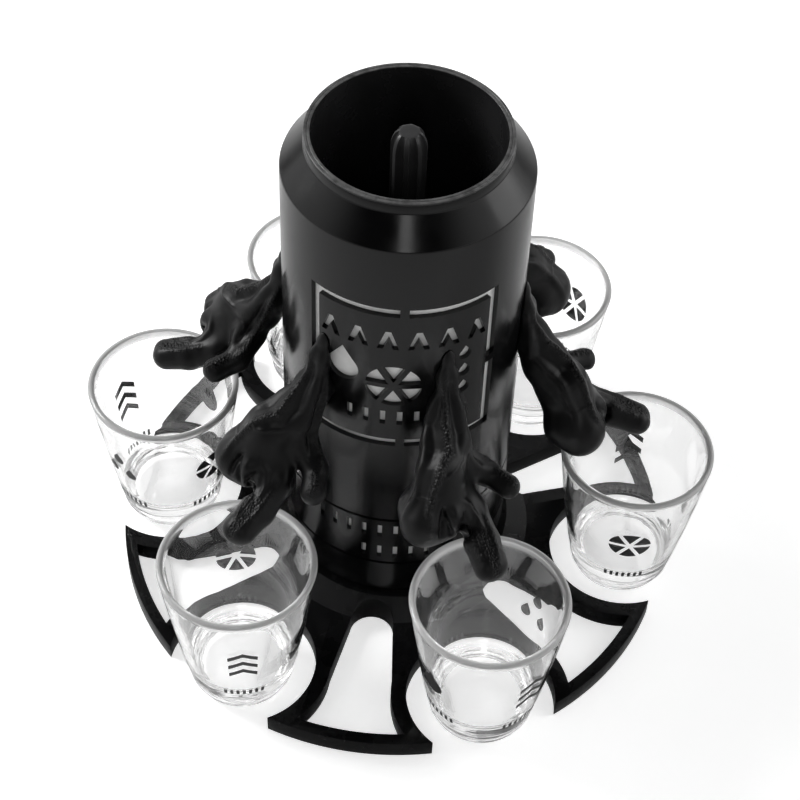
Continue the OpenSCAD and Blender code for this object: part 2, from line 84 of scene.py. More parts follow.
def length(name, description, millimetres):
    """A length property, given in millimetres."""
    return FloatProperty(name=name, description=description, default=millimetres * MM,
                         unit="LENGTH", precision=5)


def turn(name, description, degrees_):
    """An angle property, given in degrees."""
    return FloatProperty(name=name, description=description, default=radians(degrees_),
                         subtype="ANGLE", unit="ROTATION")


def amount(name, description, value):
    """A plain number."""
    return FloatProperty(name=name, description=description, default=value)


def shade(name, description, value):
    """A linear colour property."""
    return FloatVectorProperty(name=name, description=description, default=value,
                               subtype="COLOR", size=3, min=0, max=1)


class FinishProperties(bpy.types.PropertyGroup):
    print_black: shade("Black print", "Colour of the black printed plastic", (0.0022, 0.0022, 0.0024))
    hand_black: shade("Hands", "Colour of the hands' plastic", (0.003, 0.003, 0.0033))
    base_black: shade("Base", "Colour of the base's plastic", (0.0045, 0.0045, 0.0048))
    # The cup's black plastic is made lighter here: painted light for the light on the cup's walls inside the neck
    inner_black: shade("Inner print", "Colour of the cup", (0.016, 0.016, 0.0165))
    # The stem's black plastic is made lighter here: painted light for the light and reflections on the stem
    # inside the neck
    stem_black_painted_light: shade("Stem", "Colour of the stem's plastic", (0.05, 0.05, 0.051))
    # The lip's lighter colour is a painted highlight of the bright ring along the cup's lip
    lip_highlight: shade("Worn lip", "Colour of the scuffed edge of the cup's lip", (0.14, 0.14, 0.14))
    print_white: shade("White print", "Colour of the sleeve behind the cut-outs", (0.86, 0.86, 0.85))
    rubber: shade("Rubber", "Colour of the seals", (0.02, 0.02, 0.02))
    glass: shade("Glass", "Tint of the glasses", (1.0, 1.0, 1.0))
    ink: shade("Ink", "Colour of the print on the glasses", (0.02, 0.02, 0.02))
    layer: length("Layer height", "Height of one printed layer", 0.25)


class BaseProperties(bpy.types.PropertyGroup):
    plate_h: length("Plate", "Thickness of the arms", 5.8)
    notch_r: length("Notch radius", "Radius of the notch round each glass", 21.5)
    band_w: length("Rim band", "Width of the band that closes each window", 3.3)
    side_w: length("Side band", "Width of an arm's side beside its window", 4.4)
    window_end_r: length("Window end", "Radius of a window's round inner end", 6.4)
    window_end_x: length("Window end's place", "Distance of that round end's centre from the axis", 41.8)
    hub_r: length("Hub radius", "Radius of the hub's flat top", 34.5)
    hub_h: length("Hub height", "Height of the hub's flat top", 10)
    skirt_r: length("Hub skirt", "Radius at which the hub's slope meets the arms", 41)
    boss_af: length("Boss", "Width of the six-sided boss across its flats", 40)
    edge: length("Edge", "Width of the bevel along the edges", 0.3)


class ShellProperties(bpy.types.PropertyGroup):
    wall: length("Wall", "Wall of the can's side", 1.4)
    shoulder_z: length("Shoulder", "Height at which the can's side ends", 150.5)
    cone_z: length("Cone", "Height at which the shoulder's cone ends", 157.8)
    neck_r: length("Neck", "Outer radius of the neck", 26.8)
    neck_wall: length("Neck wall", "Wall of the neck", 0.8)
    cone_wall: length("Cone wall", "Wall of the shoulder's cone", 1.6)
    bore_r: length("Hand bore", "Radius of the bores for the hands' spigots", 3.55)
    bore_z: length("Bore height", "Height of those bores", 94)
    label_w: length("Label width", "Width of the framed panel, round the can", 53.6)
    label_h: length("Label height", "Height of the framed panel", 53)
    label_z: length("Label place", "Height of the panel's middle", 104)
    label_turn: turn("Label turn", "How far the panel is turned from the front", 8.5)
    slot_w: length("Slot", "Width of the frame's slots", 2.8)
    bridge_w: length("Bridge", "Bridge left in the middle of each side of the frame", 2.4)
    wheel_r: length("Wheel", "Radius of the citrus wheel", 7.5)
    wheel_turn: turn("Wheel turn", "How far the wheel is turned from the front", 4.5)
    wheel_down: length("Wheel down", "How far the wheel lies under the label's middle", 2.4)
    drop_r: length("Drop", "Radius of the drop's round end", 4.6)
    drop_turn: turn("Drop turn", "How far the drop is turned from the front", -20)
    drop_up: length("Drop up", "How far the drop lies over the label's middle", 1)
    small_drop_r: length("Small drop", "Radius of a small drop", 1.8)
    small_drop_pitch: length("Small drop pitch", "Distance between the small drops", 6.5)
    column_turn: turn("Column turn", "How far the small drops are turned from the front", 38)
    stroke_w: length("Stroke", "Width of a chevron's or a dash's stroke", 1.5)
    chevron_h: length("Chevron height", "Height of a chevron", 6.4)
    chevron_w: length("Chevron width", "Width of a chevron", 5.8)
    chevron_step: turn("Chevron step", "Angle between chevrons", 14)
    dash_h: length("Dash height", "Height of a dash", 5.2)
    dash_step: turn("Dash step", "Angle between dashes", 8)
    row_in: length("Row inset", "Distance of both rows from the frame's edges", 11.5)
    band_z: length("Lower groove", "Height of the lower groove", 24.6)
    band_h: length("Band height", "Distance between the two grooves", 19.9)
    groove_w: length("Groove", "Width of a groove", 1)
    groove_d: length("Groove depth", "Depth of a groove", 0.6)
    tick_w: length("Tick", "Width of a tick", 1.3)
    tick_h: length("Tick height", "Height of a tick", 5.2)
    tick_pitch: length("Tick pitch", "Distance between ticks", 4.6)
    tick_in: length("Tick inset", "Distance of the ticks from the grooves", 2.6)
    edge: length("Edge", "Rounding of the shell's turned edges", 0.35)


class CupProperties(bpy.types.PropertyGroup):
    wall: length("Wall", "Wall of the cup", 0.8)
    lip_h: length("Lip", "Height of the lip on top of the neck", 0.8)
    floor_z: length("Seat", "Height of the valve seat's upper edge", 103.6)
    fall: length("Fall", "Rise of the floor from the seat to the wall", 3.5)
    under_z: length("Underside", "Height of the floor's underside", 102)
    spout_r: length("Spout", "Outer radius of the spout", 10.9)
    groove_d: length("Seal groove", "Thickness of the seal round the spout", 2)
    seat_r: length("Seat radius", "Radius of the seat's bore", 6)
    joint: length("Joint line", "Depth of the fine line between cup and neck", 0.25)


class StemProperties(bpy.types.PropertyGroup):
    radius: length("Radius", "Radius of the stem", 4.75)
    tip_r: length("Tip", "Radius of the flat tip", 2.15)
    nose_h: length("Nose", "Height of the rounded nose", 5.5)
    flutes: IntProperty(name="Flutes", description="Number of flutes", default=8)
    flute_r: length("Flute", "Radius of a flute", 1.25)
    flute_l: length("Flute length", "Length of the flutes from the tip", 30)
    plug_z: length("Plug", "Height at which the head rises from the plug", 103.9)
    plug_r: length("Plug radius", "Radius of the plug in its seat", 5.7)
    head_r: length("Head", "Radius of the plug's head", 8)
    head_h: length("Head height", "Height of the plug's head", 6)
    pin_r: length("Pin", "Radius of the guide pin", 2.5)
    pin_top: length("Pin's top", "Height of the plug's underside", 97)
    seal_d: length("Seal", "Thickness of the seal on the plug", 1.6)
    seal_out: length("Seal's reach", "Outer radius of that seal", 5.95)


class HandProperties(bpy.types.PropertyGroup):
    cell: length("Cell", "Grid step of the hand's surface", 0.32)
    finger_r: length("Finger", "Radius of the index finger", 4.4)
    finger_l: length("Finger length", "Length of the index finger from its knuckle", 16.5)
    finger_fall: turn("Finger fall", "How steeply the finger falls", 18)
    drip_gap: length("Drip gap", "Gap between the glass's rim and the fingertip", 8)
    tip_in: length("Tip inset", "Distance of the fingertip inside the glass's axis", 1.8)
    spigot_r: length("Spigot", "Radius of the spigot in the can's wall", 3.5)
    spigot_l: length("Spigot length", "Length of the spigot inside the can", 10)
    seal_d: length("Seal", "Thickness of the seal on the spigot", 1.4)
    channel_r: length("Channel", "Radius of the drink's channel", 1.4)
    fit: length("Fit", "Gap between the arm and the can", 0.05)


class GlassProperties(bpy.types.PropertyGroup):
    foot_r: length("Foot", "Radius of the foot", 14.2)
    heel_r: length("Heel", "Radius of the foot's rounded edge", 3.4)
    bow: length("Bow", "How far the side bows outwards", 0.5)
    wall: length("Wall", "Wall at the rim", 1.9)
    floor: length("Floor", "Thickness of the solid foot", 9.5)
    well_r: length("Well", "Rounding inside the glass, round its floor", 6)
    ring_z: length("Ring", "Height of the moulded ring above the foot", 7.5)
    ring_d: length("Ring depth", "Depth of the groove over that ring", 0.25)
    ring_w: length("Ring width", "Width of the groove over that ring", 1.2)
    clear: amount("Clear", "Share of the light that the glass lets through", 0.985)
    # In the thick rim the glass lets less through and shows white: painted light for the rim's bright ring
    rim_clear_painted_light: amount("Rim clear", "That share in the thick rim", 0.5)
    ink_z: length("Print", "Height of the middle of the print", 31)
    ink_wheel_r: length("Printed wheel", "Radius of the printed citrus wheel", 6)
    ink_drop_r: length("Printed drop", "Radius of the printed drop", 3.6)
    ink_d: length("Ink", "Thickness of the print", 0.04)


class StudioProperties(bpy.types.PropertyGroup):
    eye: FloatVectorProperty(name="Eye", description="The camera's place", size=3, subtype="TRANSLATION",
                             default=(0.048388, -0.379088, 0.493215))
    right: FloatVectorProperty(name="Right", description="The camera's right", size=3, subtype="DIRECTION",
                               default=(0.98725, 0.15672, 0.02769))
    up: FloatVectorProperty(name="Up", description="The camera's up", size=3, subtype="DIRECTION",
                            default=(-0.13579, 0.73881, 0.66009))
    lens: amount("Lens", "Focal length on a 36 mm sensor", 90.05)
    floor: length("Floor", "Width of the floor", 6000)
    key: amount("Key", "Power of the key lamp, in watts", 6)
    fill: amount("Fill", "Power of the fill lamp, in watts", 2.2)
    streak: amount("Streak", "Power of the narrow front lamp, in watts", 0.8)
    lean: amount("Lean", "How much higher the white backdrop reaches at the sides than in front", 0.9)
    front: amount("Front", "How much darker the studio is in front, where the camera stands", 0.25)
    wall_low: amount("Backdrop", "Sine of the elevation up to which the backdrop is white", 0.05)
    wall_high: amount("Ceiling's edge", "Sine of the elevation from which the ceiling is dark", 0.5)
    ceiling: amount("Ceiling", "Strength of the light overhead", 0.03)
    glow: amount("Floor's glow", "How much the lit floor is raised towards white where it is seen", 0.6)


GROUPS = {"finish": FinishProperties, "base": BaseProperties, "shell": ShellProperties,
          "cup": CupProperties, "stem": StemProperties, "hand": HandProperties,
          "glass": GlassProperties, "studio": StudioProperties}


def sizes(group):
    """The scene's own values of one group."""
    return getattr(bpy.context.scene, "dispenser_" + group)


# ---- meshes ----

def fill_mesh(name, points, faces, smooth=True):
    """A mesh object from an array of points and an array of faces with equal corner counts."""
    points = np.asarray(points, np.float32).reshape(-1, 3)
    faces = np.asarray(faces, np.int32)
    mesh = bpy.data.meshes.new(name)
    mesh.vertices.add(len(points))
    mesh.vertices.foreach_set("co", points.ravel())
    mesh.loops.add(faces.size)
    mesh.loops.foreach_set("vertex_index", faces.ravel())
    mesh.polygons.add(len(faces))
    mesh.polygons.foreach_set("loop_start", np.arange(0, faces.size, faces.shape[1], dtype=np.int32))
    mesh.update(calc_edges=True)
    mesh.validate()
    mesh.polygons.foreach_set("use_smooth", np.full(len(faces), smooth))
    piece = bpy.data.objects.new(name, mesh)
    bpy.context.scene.collection.objects.link(piece)
    return piece


def grid_faces(rows, columns, wrap_rows=False, wrap_columns=True):
    """Quads of a grid of points: each joins a point, its neighbour in the row, and both in the next row."""
    index = np.arange(rows * columns).reshape(rows, columns)
    if wrap_rows:
        index = np.vstack([index, index[:1]])
    if wrap_columns:
        index = np.hstack([index, index[:, :1]])
    return np.stack([index[:-1, :-1], index[:-1, 1:], index[1:, 1:], index[1:, :-1]], -1).reshape(-1, 4)


def arc(centre, radius, start, end, steps):
    """Points on a circle between two angles in degrees."""
    angle = np.radians(np.linspace(start, end, steps + 1))
    return np.stack([centre[0] + radius * np.cos(angle), centre[1] + radius * np.sin(angle)], -1)


def rounded(corners, radius, steps=4):
    """A closed outline whose corners are rounded: each corner is a quadratic curve between its two sides."""
    corners = np.asarray(corners, float)
    before = np.roll(corners, 1, 0) - corners
    after = np.roll(corners, -1, 0) - corners
    reach = np.minimum(radius, np.minimum(np.linalg.norm(before, axis=1), np.linalg.norm(after, axis=1)) / 2.2)
    start = corners + before / np.linalg.norm(before, axis=1)[:, None] * reach[:, None]
    end = corners + after / np.linalg.norm(after, axis=1)[:, None] * reach[:, None]
    t = np.linspace(0, 1, steps + 1)[None, :, None]
    curve = start[:, None] * (1 - t) ** 2 + 2 * corners[:, None] * t * (1 - t) + end[:, None] * t ** 2
    return curve.reshape(-1, 2)


def turned(name, outline, segments):
    """A closed outline of (radius, height) turned about the axis: x = r cos a, y = r sin a, z = height."""
    outline = np.asarray(outline, float)
    angle = np.linspace(0, 2 * pi, segments, endpoint=False)
    r, z = outline[:, :1], outline[:, 1:]
    points = np.stack([r * np.cos(angle), r * np.sin(angle), z + 0 * angle], -1)
    return fill_mesh(name, points, grid_faces(len(outline), segments, wrap_rows=True))


def swept_slot(azimuths, heights, radii, steps):
    """A block bent round the axis: a rectangle of (radius, height) carried along the azimuth, closed at both
    ends."""
    angle = np.linspace(*azimuths, steps + 1)[:, None]
    r = np.array([radii[0], radii[1], radii[1], radii[0]])
    z = np.array([heights[0], heights[0], heights[1], heights[1]])
    points = np.stack([r * np.cos(angle), r * np.sin(angle), z + 0 * angle], -1)
    last = 4 * steps
    ends = [[0, 1, 2, 3], [last + 3, last + 2, last + 1, last]]
    return points.reshape(-1, 3), np.vstack([grid_faces(steps + 1, 4)[:, ::-1], ends])


def open_loop(outline):
    """An outline without the points that repeat the one before them."""
    outline = np.asarray(outline, float)
    return outline[np.linalg.norm(outline - np.roll(outline, 1, 0), axis=1) > 1e-6]


def wall_prism(outline, azimuth, height, radii):
    """A flat outline of (across, up) pushed straight out along the azimuth, from one radius to the other."""
    outline = open_loop(outline)
    across = np.array([-sin(azimuth), cos(azimuth), 0])
    out = np.array([cos(azimuth), sin(azimuth), 0])
    ring = outline[:, :1] * across + outline[:, 1:] * np.array([0, 0, 1.0]) + [0, 0, height]
    count = len(outline)
    points = np.vstack([ring + radii[0] * out, ring + radii[1] * out])
    walls = grid_faces(2, count)
    return points, [list(range(count))[::-1], list(range(count, 2 * count))] + walls.tolist()


def mixed_mesh(name, blocks):
    """One mesh object from blocks of (points, faces) whose faces may have any number of corners."""
    points = []
    faces = []
    for block, block_faces in blocks:
        start = len(points)
        points += block.tolist()
        faces += [[start + int(i) for i in face] for face in block_faces]
    mesh = bpy.data.meshes.new(name)
    mesh.from_pydata(points, [], faces)
    piece = bpy.data.objects.new(name, mesh)
    bpy.context.scene.collection.objects.link(piece)
    return piece


def apply_modifiers(piece):
    """Gives the piece the mesh that its modifiers make of it."""
    graph = bpy.context.evaluated_depsgraph_get()
    mesh = bpy.data.meshes.new_from_object(piece.evaluated_get(graph))
    piece.modifiers.clear()
    old = piece.data
    piece.data = mesh
    bpy.data.meshes.remove(old)


def cut(piece, tool, operation="DIFFERENCE"):
    """Cuts the tool out of the piece, or joins it on, and takes the tool away."""
    step = piece.modifiers.new(operation.title(), "BOOLEAN")
    step.operation = operation
    step.solver = "EXACT"
    step.use_self = True
    step.object = tool
    bpy.context.view_layer.update()
    apply_modifiers(piece)
    bpy.data.objects.remove(tool)


def smooth_but(piece, angle):
    """Smooth shading, with edges sharper than the angle kept."""
    piece.data.polygons.foreach_set("use_smooth", np.ones(len(piece.data.polygons), bool))
    piece.data.set_sharp_from_angle(angle=radians(angle))


def dress(piece, material, body, *nodes):
    """Gives the piece its material and its CAD body, and puts it in the place of its nodes."""
    piece.data.materials.clear()
    piece.data.materials.append(material)
    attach(piece, body)
    if nodes:
        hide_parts(*nodes)


def even_faces(piece, above):
    """Lets the shading of rounded edges above a height follow the large faces beside them, which then look
    flat."""
    group = piece.vertex_groups.new(name="even")
    group.add([v.index for v in piece.data.vertices if v.co.z > above], 1, "REPLACE")
    piece.modifiers.new("Shading", "WEIGHTED_NORMAL").vertex_group = group.name


# ---- materials ----

MADE = {}


def add_node(tree, kind, inputs=None, **settings):
    """Adds a node, with its settings, and links or sets its inputs."""
    made = tree.nodes.new(kind)
    for key, value in settings.items():
        setattr(made, key, value)
    for socket, value in (inputs or {}).items():
        if isinstance(value, bpy.types.NodeSocket):
            tree.links.new(value, made.inputs[socket])
        else:
            made.inputs[socket].default_value = value
    return made


def maths(tree, operation, *values):
    """The result of a math node."""
    return add_node(tree, "ShaderNodeMath", dict(enumerate(values)), operation=operation).outputs[0]


def noise(tree, coordinates, scale, detail, **inputs):
    """The result of a noise texture."""
    inputs = {"Vector": coordinates, "Scale": scale, "Detail": detail, **inputs}
    return add_node(tree, "ShaderNodeTexNoise", inputs).outputs["Fac"]


def remap(tree, value, low, high, start, end, **settings):
    """The value, with its range from low to high stretched to the range from start to end."""
    return add_node(tree, "ShaderNodeMapRange", {0: value, 1: low, 2: high, 3: start, 4: end},
                    **settings).outputs[0]


def add_bump(tree, strength, distance, height, normal=None):
    """The normal, raised by a height."""
    inputs = {"Strength": strength, "Distance": distance, "Height": height}
    if normal is not None:
        inputs["Normal"] = normal
    return add_node(tree, "ShaderNodeBump", inputs).outputs[0]


def new_material(name):
    """A material with an empty tree, and its shader and coordinates; or the one made before, and no tree."""
    if name in MADE:
        return MADE[name], None, None, None
    material = MADE[name] = bpy.data.materials.new(name)
    material.use_nodes = True
    tree = material.node_tree
    tree.nodes.clear()
    output = tree.nodes.new("ShaderNodeOutputMaterial")
    shader = tree.nodes.new("ShaderNodeBsdfPrincipled")
    tree.links.new(shader.outputs[0], output.inputs[0])
    coordinates = tree.nodes.new("ShaderNodeTexCoord").outputs["Object"]
    return material, tree, shader, coordinates


def layer_lines(tree, coordinates, pitch):
    """Height of the printed layers: a sine of the height above the table, one wave for each layer."""
    z = add_node(tree, "ShaderNodeSeparateXYZ", {0: coordinates}).outputs["Z"]
    shift = maths(tree, "MULTIPLY", noise(tree, coordinates, 60.0, 2.0), 1.2)
    return maths(tree, "SINE", maths(tree, "MULTIPLY_ADD", z, 2 * pi / pitch, shift))


def painted_lip_highlight(tree, coordinates, color):
    """The colour, painted lighter in patches along the very top of the cup's lip: a painted highlight of the
    lip's bright ring.
    """
    height = add_node(tree, "ShaderNodeSeparateXYZ", {0: coordinates}).outputs["Z"]
    flat = add_node(tree, "ShaderNodeVectorMath", {0: coordinates, 1: (1, 1, 0)}, operation="MULTIPLY")
    out = add_node(tree, "ShaderNodeVectorMath", {0: flat.outputs[0]}, operation="LENGTH")
    top = remap(tree, height, CUP_HIGH.z - 0.35 * MM, CUP_HIGH.z - 0.1 * MM, 0.0, 1.0)
    at_lip = maths(tree, "GREATER_THAN", out.outputs["Value"], CUP_HIGH.x - 4 * MM)
    patchy = remap(tree, noise(tree, coordinates, 400.0, 3.0), 0.3, 0.6, 0.35, 1.0)
    share = maths(tree, "MULTIPLY", maths(tree, "MULTIPLY", top, at_lip), patchy)
    return add_node(tree, "ShaderNodeMix", {0: share, 6: color, 7: (*sizes("finish").lip_highlight, 1)},
                    data_type="RGBA").outputs[2]


# Each printed plastic: its colour's property, its roughness, its index of refraction, and how strong its layer
# lines and the scars of its print supports are
PLASTICS = {
    "tower": ("print_black", 0.17, 1.38, 0.03, 0.0),
    "base": ("base_black", 0.26, 1.22, 0.03, 0.0),
    "hand": ("hand_black", 0.4, 1.31, 0.06, 1.0),
    # The cup's colour is painted light: black plastic made lighter
    "cup": ("inner_black", 0.24, 1.38, 0.03, 0.0),
    # The stem's colour is painted light: black plastic made lighter
    "stem": ("stem_black_painted_light", 0.36, 1.42, 0.03, 0.0),
    "sleeve": ("print_white", 0.5, 1.34, 0.03, 0.0),
}


def printed_plastic(kind):
    """Printed plastic: fine layer lines, slow changes of gloss, a little grain, and rough patches where it has
    scars."""
    material, tree, shader, coordinates = new_material(kind + "_plastic")
    if tree is None:
        return material
    color, roughness, ior, lines, scars = PLASTICS[kind]
    slow = noise(tree, coordinates, 90.0, 4.0, Roughness=0.6)
    gloss = remap(tree, slow, 0.3, 0.7, roughness - 0.06, roughness + 0.08)
    tint = remap(tree, slow, 0.3, 0.7, 0.85, 1.2)
    mixed = add_node(tree, "ShaderNodeVectorMath", {0: getattr(sizes("finish"), color), "Scale": tint},
                     operation="SCALE").outputs[0]
    # The cup's lip gets a painted highlight
    if kind == "cup":
        mixed = painted_lip_highlight(tree, coordinates, mixed)
    tree.links.new(mixed, shader.inputs["Base Color"])
    tree.links.new(gloss, shader.inputs["Roughness"])
    shader.inputs["IOR"].default_value = ior
    grain = noise(tree, coordinates, 2500.0, 2.0)
    bump = add_bump(tree, lines, 0.05 * MM, layer_lines(tree, coordinates, sizes("finish").layer))
    bump = add_bump(tree, 0.02, 0.05 * MM, grain, bump)
    if scars:
        patch = add_node(tree, "ShaderNodeAttribute", attribute_name="scar").outputs["Fac"]
        rough = add_node(tree, "ShaderNodeTexVoronoi", {"Vector": coordinates, "Scale": 1500.0})
        bump = add_bump(tree, scars, 0.4 * MM, maths(tree, "MULTIPLY", rough.outputs["Distance"], patch), bump)
    tree.links.new(bump, shader.inputs["Normal"])
    return material


def rubber():
    """Black rubber: rough and slightly mottled."""
    material, tree, shader, coordinates = new_material("ring_rubber")
    if tree is None:
        return material
    rough = remap(tree, noise(tree, coordinates, 700.0, 3.0), 0.0, 1.0, 0.5, 0.75)
    tree.links.new(rough, shader.inputs["Roughness"])
    shader.inputs["Base Color"].default_value = (*sizes("finish").rubber, 1)
    return material


def clear_glass():
    """Clear pressed glass, with the slow waves of a mould in its surface, made milky white in its thick rim:
    painted light for the bright light that the rim carries.
    """
    material, tree, shader, coordinates = new_material("pressed_glass")
    if tree is None:
        return material
    v = sizes("glass")
    shader.inputs["Base Color"].default_value = (*sizes("finish").glass, 1)
    shader.inputs["Roughness"].default_value = 0.0
    shader.inputs["IOR"].default_value = 1.5
    z = add_node(tree, "ShaderNodeSeparateXYZ", {0: coordinates}).outputs["Z"]
    # Painted light: the thick rim turns milky white to stand for the light that it carries
    share = remap(tree, z, GLASS_H - 1.6 * v.wall, GLASS_H - 0.5 * v.wall, v.clear, v.rim_clear_painted_light,
                  interpolation_type="SMOOTHSTEP")
    tree.links.new(share, shader.inputs["Transmission Weight"])
    bump = add_bump(tree, 0.12, 0.6 * MM, noise(tree, coordinates, 110.0, 1.0))
    tree.links.new(bump, shader.inputs["Normal"])
    return material


def glass_ink():
    """Fired black print: thin in places, so its gloss changes."""
    material, tree, shader, coordinates = new_material("fired_ink")
    if tree is None:
        return material
    thin = noise(tree, coordinates, 900.0, 3.0)
    tint = remap(tree, thin, 0.35, 0.75, 0.6, 2.2)
    mixed = add_node(tree, "ShaderNodeVectorMath", {0: sizes("finish").ink, "Scale": tint}, operation="SCALE")
    tree.links.new(mixed.outputs[0], shader.inputs["Base Color"])
    tree.links.new(remap(tree, thin, 0.0, 1.0, 0.3, 0.6), shader.inputs["Roughness"])
    tree.links.new(add_bump(tree, 0.1, 0.05 * MM, thin), shader.inputs["Normal"])
    return material


# ---- base ----

def star_outline(v):
    """The star's outline: six rim arcs joined by the six notch arcs."""
    ring, notch = GLASS_RING, v.notch_r
    along = (BASE_R ** 2 - notch ** 2 + ring ** 2) / (2 * ring)
    across = sqrt(BASE_R ** 2 - along ** 2)
    half = degrees(STEP / 2 - asin(across / BASE_R))
    start = degrees(asin(across / notch))
    rim = arc((0, 0), BASE_R, -half, half, 24)
    hollow = arc((ring, 0), notch, 360 - start, start, 60)
    sides = []
    for k in range(6):
        for points, at in ((rim, k * STEP - pi / 2), (hollow, k * STEP - pi / 2 + STEP / 2)):
            sides.append(turn_points(points, at))
    return np.vstack(sides)


def turn_points(points, angle):
    """Points turned about the axis."""
    c, s = cos(angle), sin(angle)
    return points @ np.array([[c, s], [-s, c]])


def window_outline(v):
    """A window's outline along +X: its round inner end, its straight sides, the arcs beside the notches and the
    rim arc."""
    mid = GLASS_RING * np.array([cos(STEP / 2), sin(STEP / 2)])
    side_r = v.notch_r + v.side_w
    end = arc((v.window_end_x, 0), v.window_end_r, 90, 270, 24)
    rim_r = BASE_R - v.band_w
    ring = GLASS_RING
    along = (rim_r ** 2 - side_r ** 2 + ring ** 2) / (2 * ring)
    across = sqrt(rim_r ** 2 - along ** 2)
    corner = turn_points(np.array([[along, across]]), -STEP / 2)[0]
    reach = degrees(np.arctan2(corner[1] + mid[1], corner[0] - mid[0]))
    lower = arc((mid[0], -mid[1]), side_r, 90, reach, 24)
    rim_half = degrees(np.arctan2(corner[1], corner[0]))
    rim = arc((0, 0), rim_r, rim_half, -rim_half, 16)
    return np.vstack([end, lower, rim, lower[::-1] * [1, -1]])


def prism(outline, low, high):
    """A flat outline pushed straight up, as one block of points and faces."""
    outline = open_loop(outline)
    count = len(outline)
    points = np.vstack([np.column_stack([outline, np.full(count, z)]) for z in (low, high)])
    caps = [list(range(count))[::-1], list(range(count, 2 * count))]
    return points, caps + grid_faces(2, count).tolist()


class DISPENSER_OT_base(bpy.types.Operator):
    """Make the star base with its windows, hub and boss"""
    bl_idname = "dispenser.base"
    bl_label = "Star Base"

    def execute(self, context):
        v = sizes("base")
        piece = mixed_mesh("star_base", [prism(star_outline(v), 0, v.plate_h)])
        axis = 0.2 * MM
        hub = turned("hub", [(axis, v.plate_h - LAP), (v.skirt_r + 0.2 * MM, v.plate_h - LAP),
                             (v.skirt_r, v.plate_h), (v.hub_r, v.hub_h), (axis, v.hub_h)], 192)
        cut(piece, hub, "UNION")
        windows = [prism(turn_points(window_outline(v), k * STEP - pi / 2), -10 * MM, 20 * MM) for k in range(6)]
        cut(piece, mixed_mesh("windows", windows))
        boss = np.array([[cos(k * STEP - pi / 2), sin(k * STEP - pi / 2)] for k in range(6)])
        boss_r = v.boss_af / 2 / cos(STEP / 2)
        cut(piece, mixed_mesh("boss", [prism(boss * boss_r, v.hub_h - LAP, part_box("base_star")[1].z)]), "UNION")
        bevel = piece.modifiers.new("Edges", "BEVEL")
        bevel.width = v.edge
        bevel.segments = 2
        bevel.limit_method = "ANGLE"
        bevel.angle_limit = radians(35)
        apply_modifiers(piece)
        smooth_but(piece, SHARP)
        dress(piece, printed_plastic("base"), "base", "base_star")
        return {"FINISHED"}


# ---- can ----

def shell_outline(v):
    """The shell's wall from its foot up the outside, over the neck and down the inside, with its two grooves."""
    r, low, edge = CAN_R, CAN_LOW.z, v.edge
    inner = r - v.wall
    outer = [(inner, low), (r - edge, low), (r, low + edge)]
    for z in (v.band_z, v.band_z + v.band_h):
        half = v.groove_w / 2
        outer += [(r, z - half), (r - v.groove_d, z - half * 0.7), (r - v.groove_d, z + half * 0.7),
                  (r, z + half)]
    slope = np.array([v.neck_r - r, v.cone_z - v.shoulder_z])
    slope = slope / np.linalg.norm(slope)
    shoulder = np.array([r, v.shoulder_z])
    neck = np.array([v.neck_r, v.cone_z])
    outer += [tuple(shoulder - [0, edge]), tuple(shoulder + slope * edge)]
    outer += [tuple(neck - slope * edge), tuple(neck + [0, edge])]
    neck_in = v.neck_r - v.neck_wall
    outer += [(v.neck_r, CAN_HIGH.z), (neck_in, CAN_HIGH.z), (neck_in, v.cone_z - v.cone_wall),
              (inner, v.shoulder_z - v.cone_wall)]
    return outer


def wheel_wedge(radius, k):
    """One of the wheel's six segments: an arc and a point, set back from the spokes."""
    spoke = radius / 10
    lean = degrees(asin(spoke / radius))
    wedge = np.vstack([arc((0, 0), radius, lean, 60 - lean, 10), [[spoke / tan(radians(30)), spoke]]])
    return turn_points(wedge, k * pi / 3)


def drop_outline(radius):
    """A drop: a round end and a point where its two tangents meet."""
    lean = 35
    return np.vstack([arc((0, 0), radius, 180 - lean, 360 + lean, 28), [[0, radius / sin(radians(lean))]]])


def chevron_outline(v):
    """A chevron that points up, with a flat tip: two strokes that lean together."""
    low, half, stroke = -v.chevron_h / 2, v.chevron_w / 2, v.stroke_w
    return np.array([[-half, low], [stroke - half, low], [0, -low - 2 * stroke], [half - stroke, low],
                     [half, low], [stroke / 2, -low], [-stroke / 2, -low]])


def wall_reach(v):
    """The radii between which a cut-out's block runs, from behind the wall to before it."""
    return CAN_R - v.wall - 1.5 * MM, CAN_R + SPARE


def label_frame(v):
    """The frame: a bent block, less the block inside it and the two strips that leave its bridges."""
    low, high = v.label_z - v.label_h / 2, v.label_z + v.label_h / 2
    middle, half = FRONT + v.label_turn, v.label_w / 2 / CAN_R
    slot, bridge = v.slot_w / CAN_R, v.bridge_w / 2 / CAN_R
    near, far = wall_reach(v)
    clear = (near - SPARE, far + SPARE)
    frame_ = mixed_mesh("frame", [swept_slot((middle - half, middle + half), (low, high), (near, far), 48)])
    cut(frame_, mixed_mesh("clear", [
        swept_slot((middle - half + slot, middle + half - slot), (low + v.slot_w, high - v.slot_w), clear, 44),
        swept_slot((middle - bridge, middle + bridge), (low - SPARE, high + SPARE), clear, 2),
        swept_slot((middle - half - bridge, middle + half + bridge),
                   (v.label_z - v.bridge_w / 2, v.label_z + v.bridge_w / 2), clear, 50)]))
    return frame_


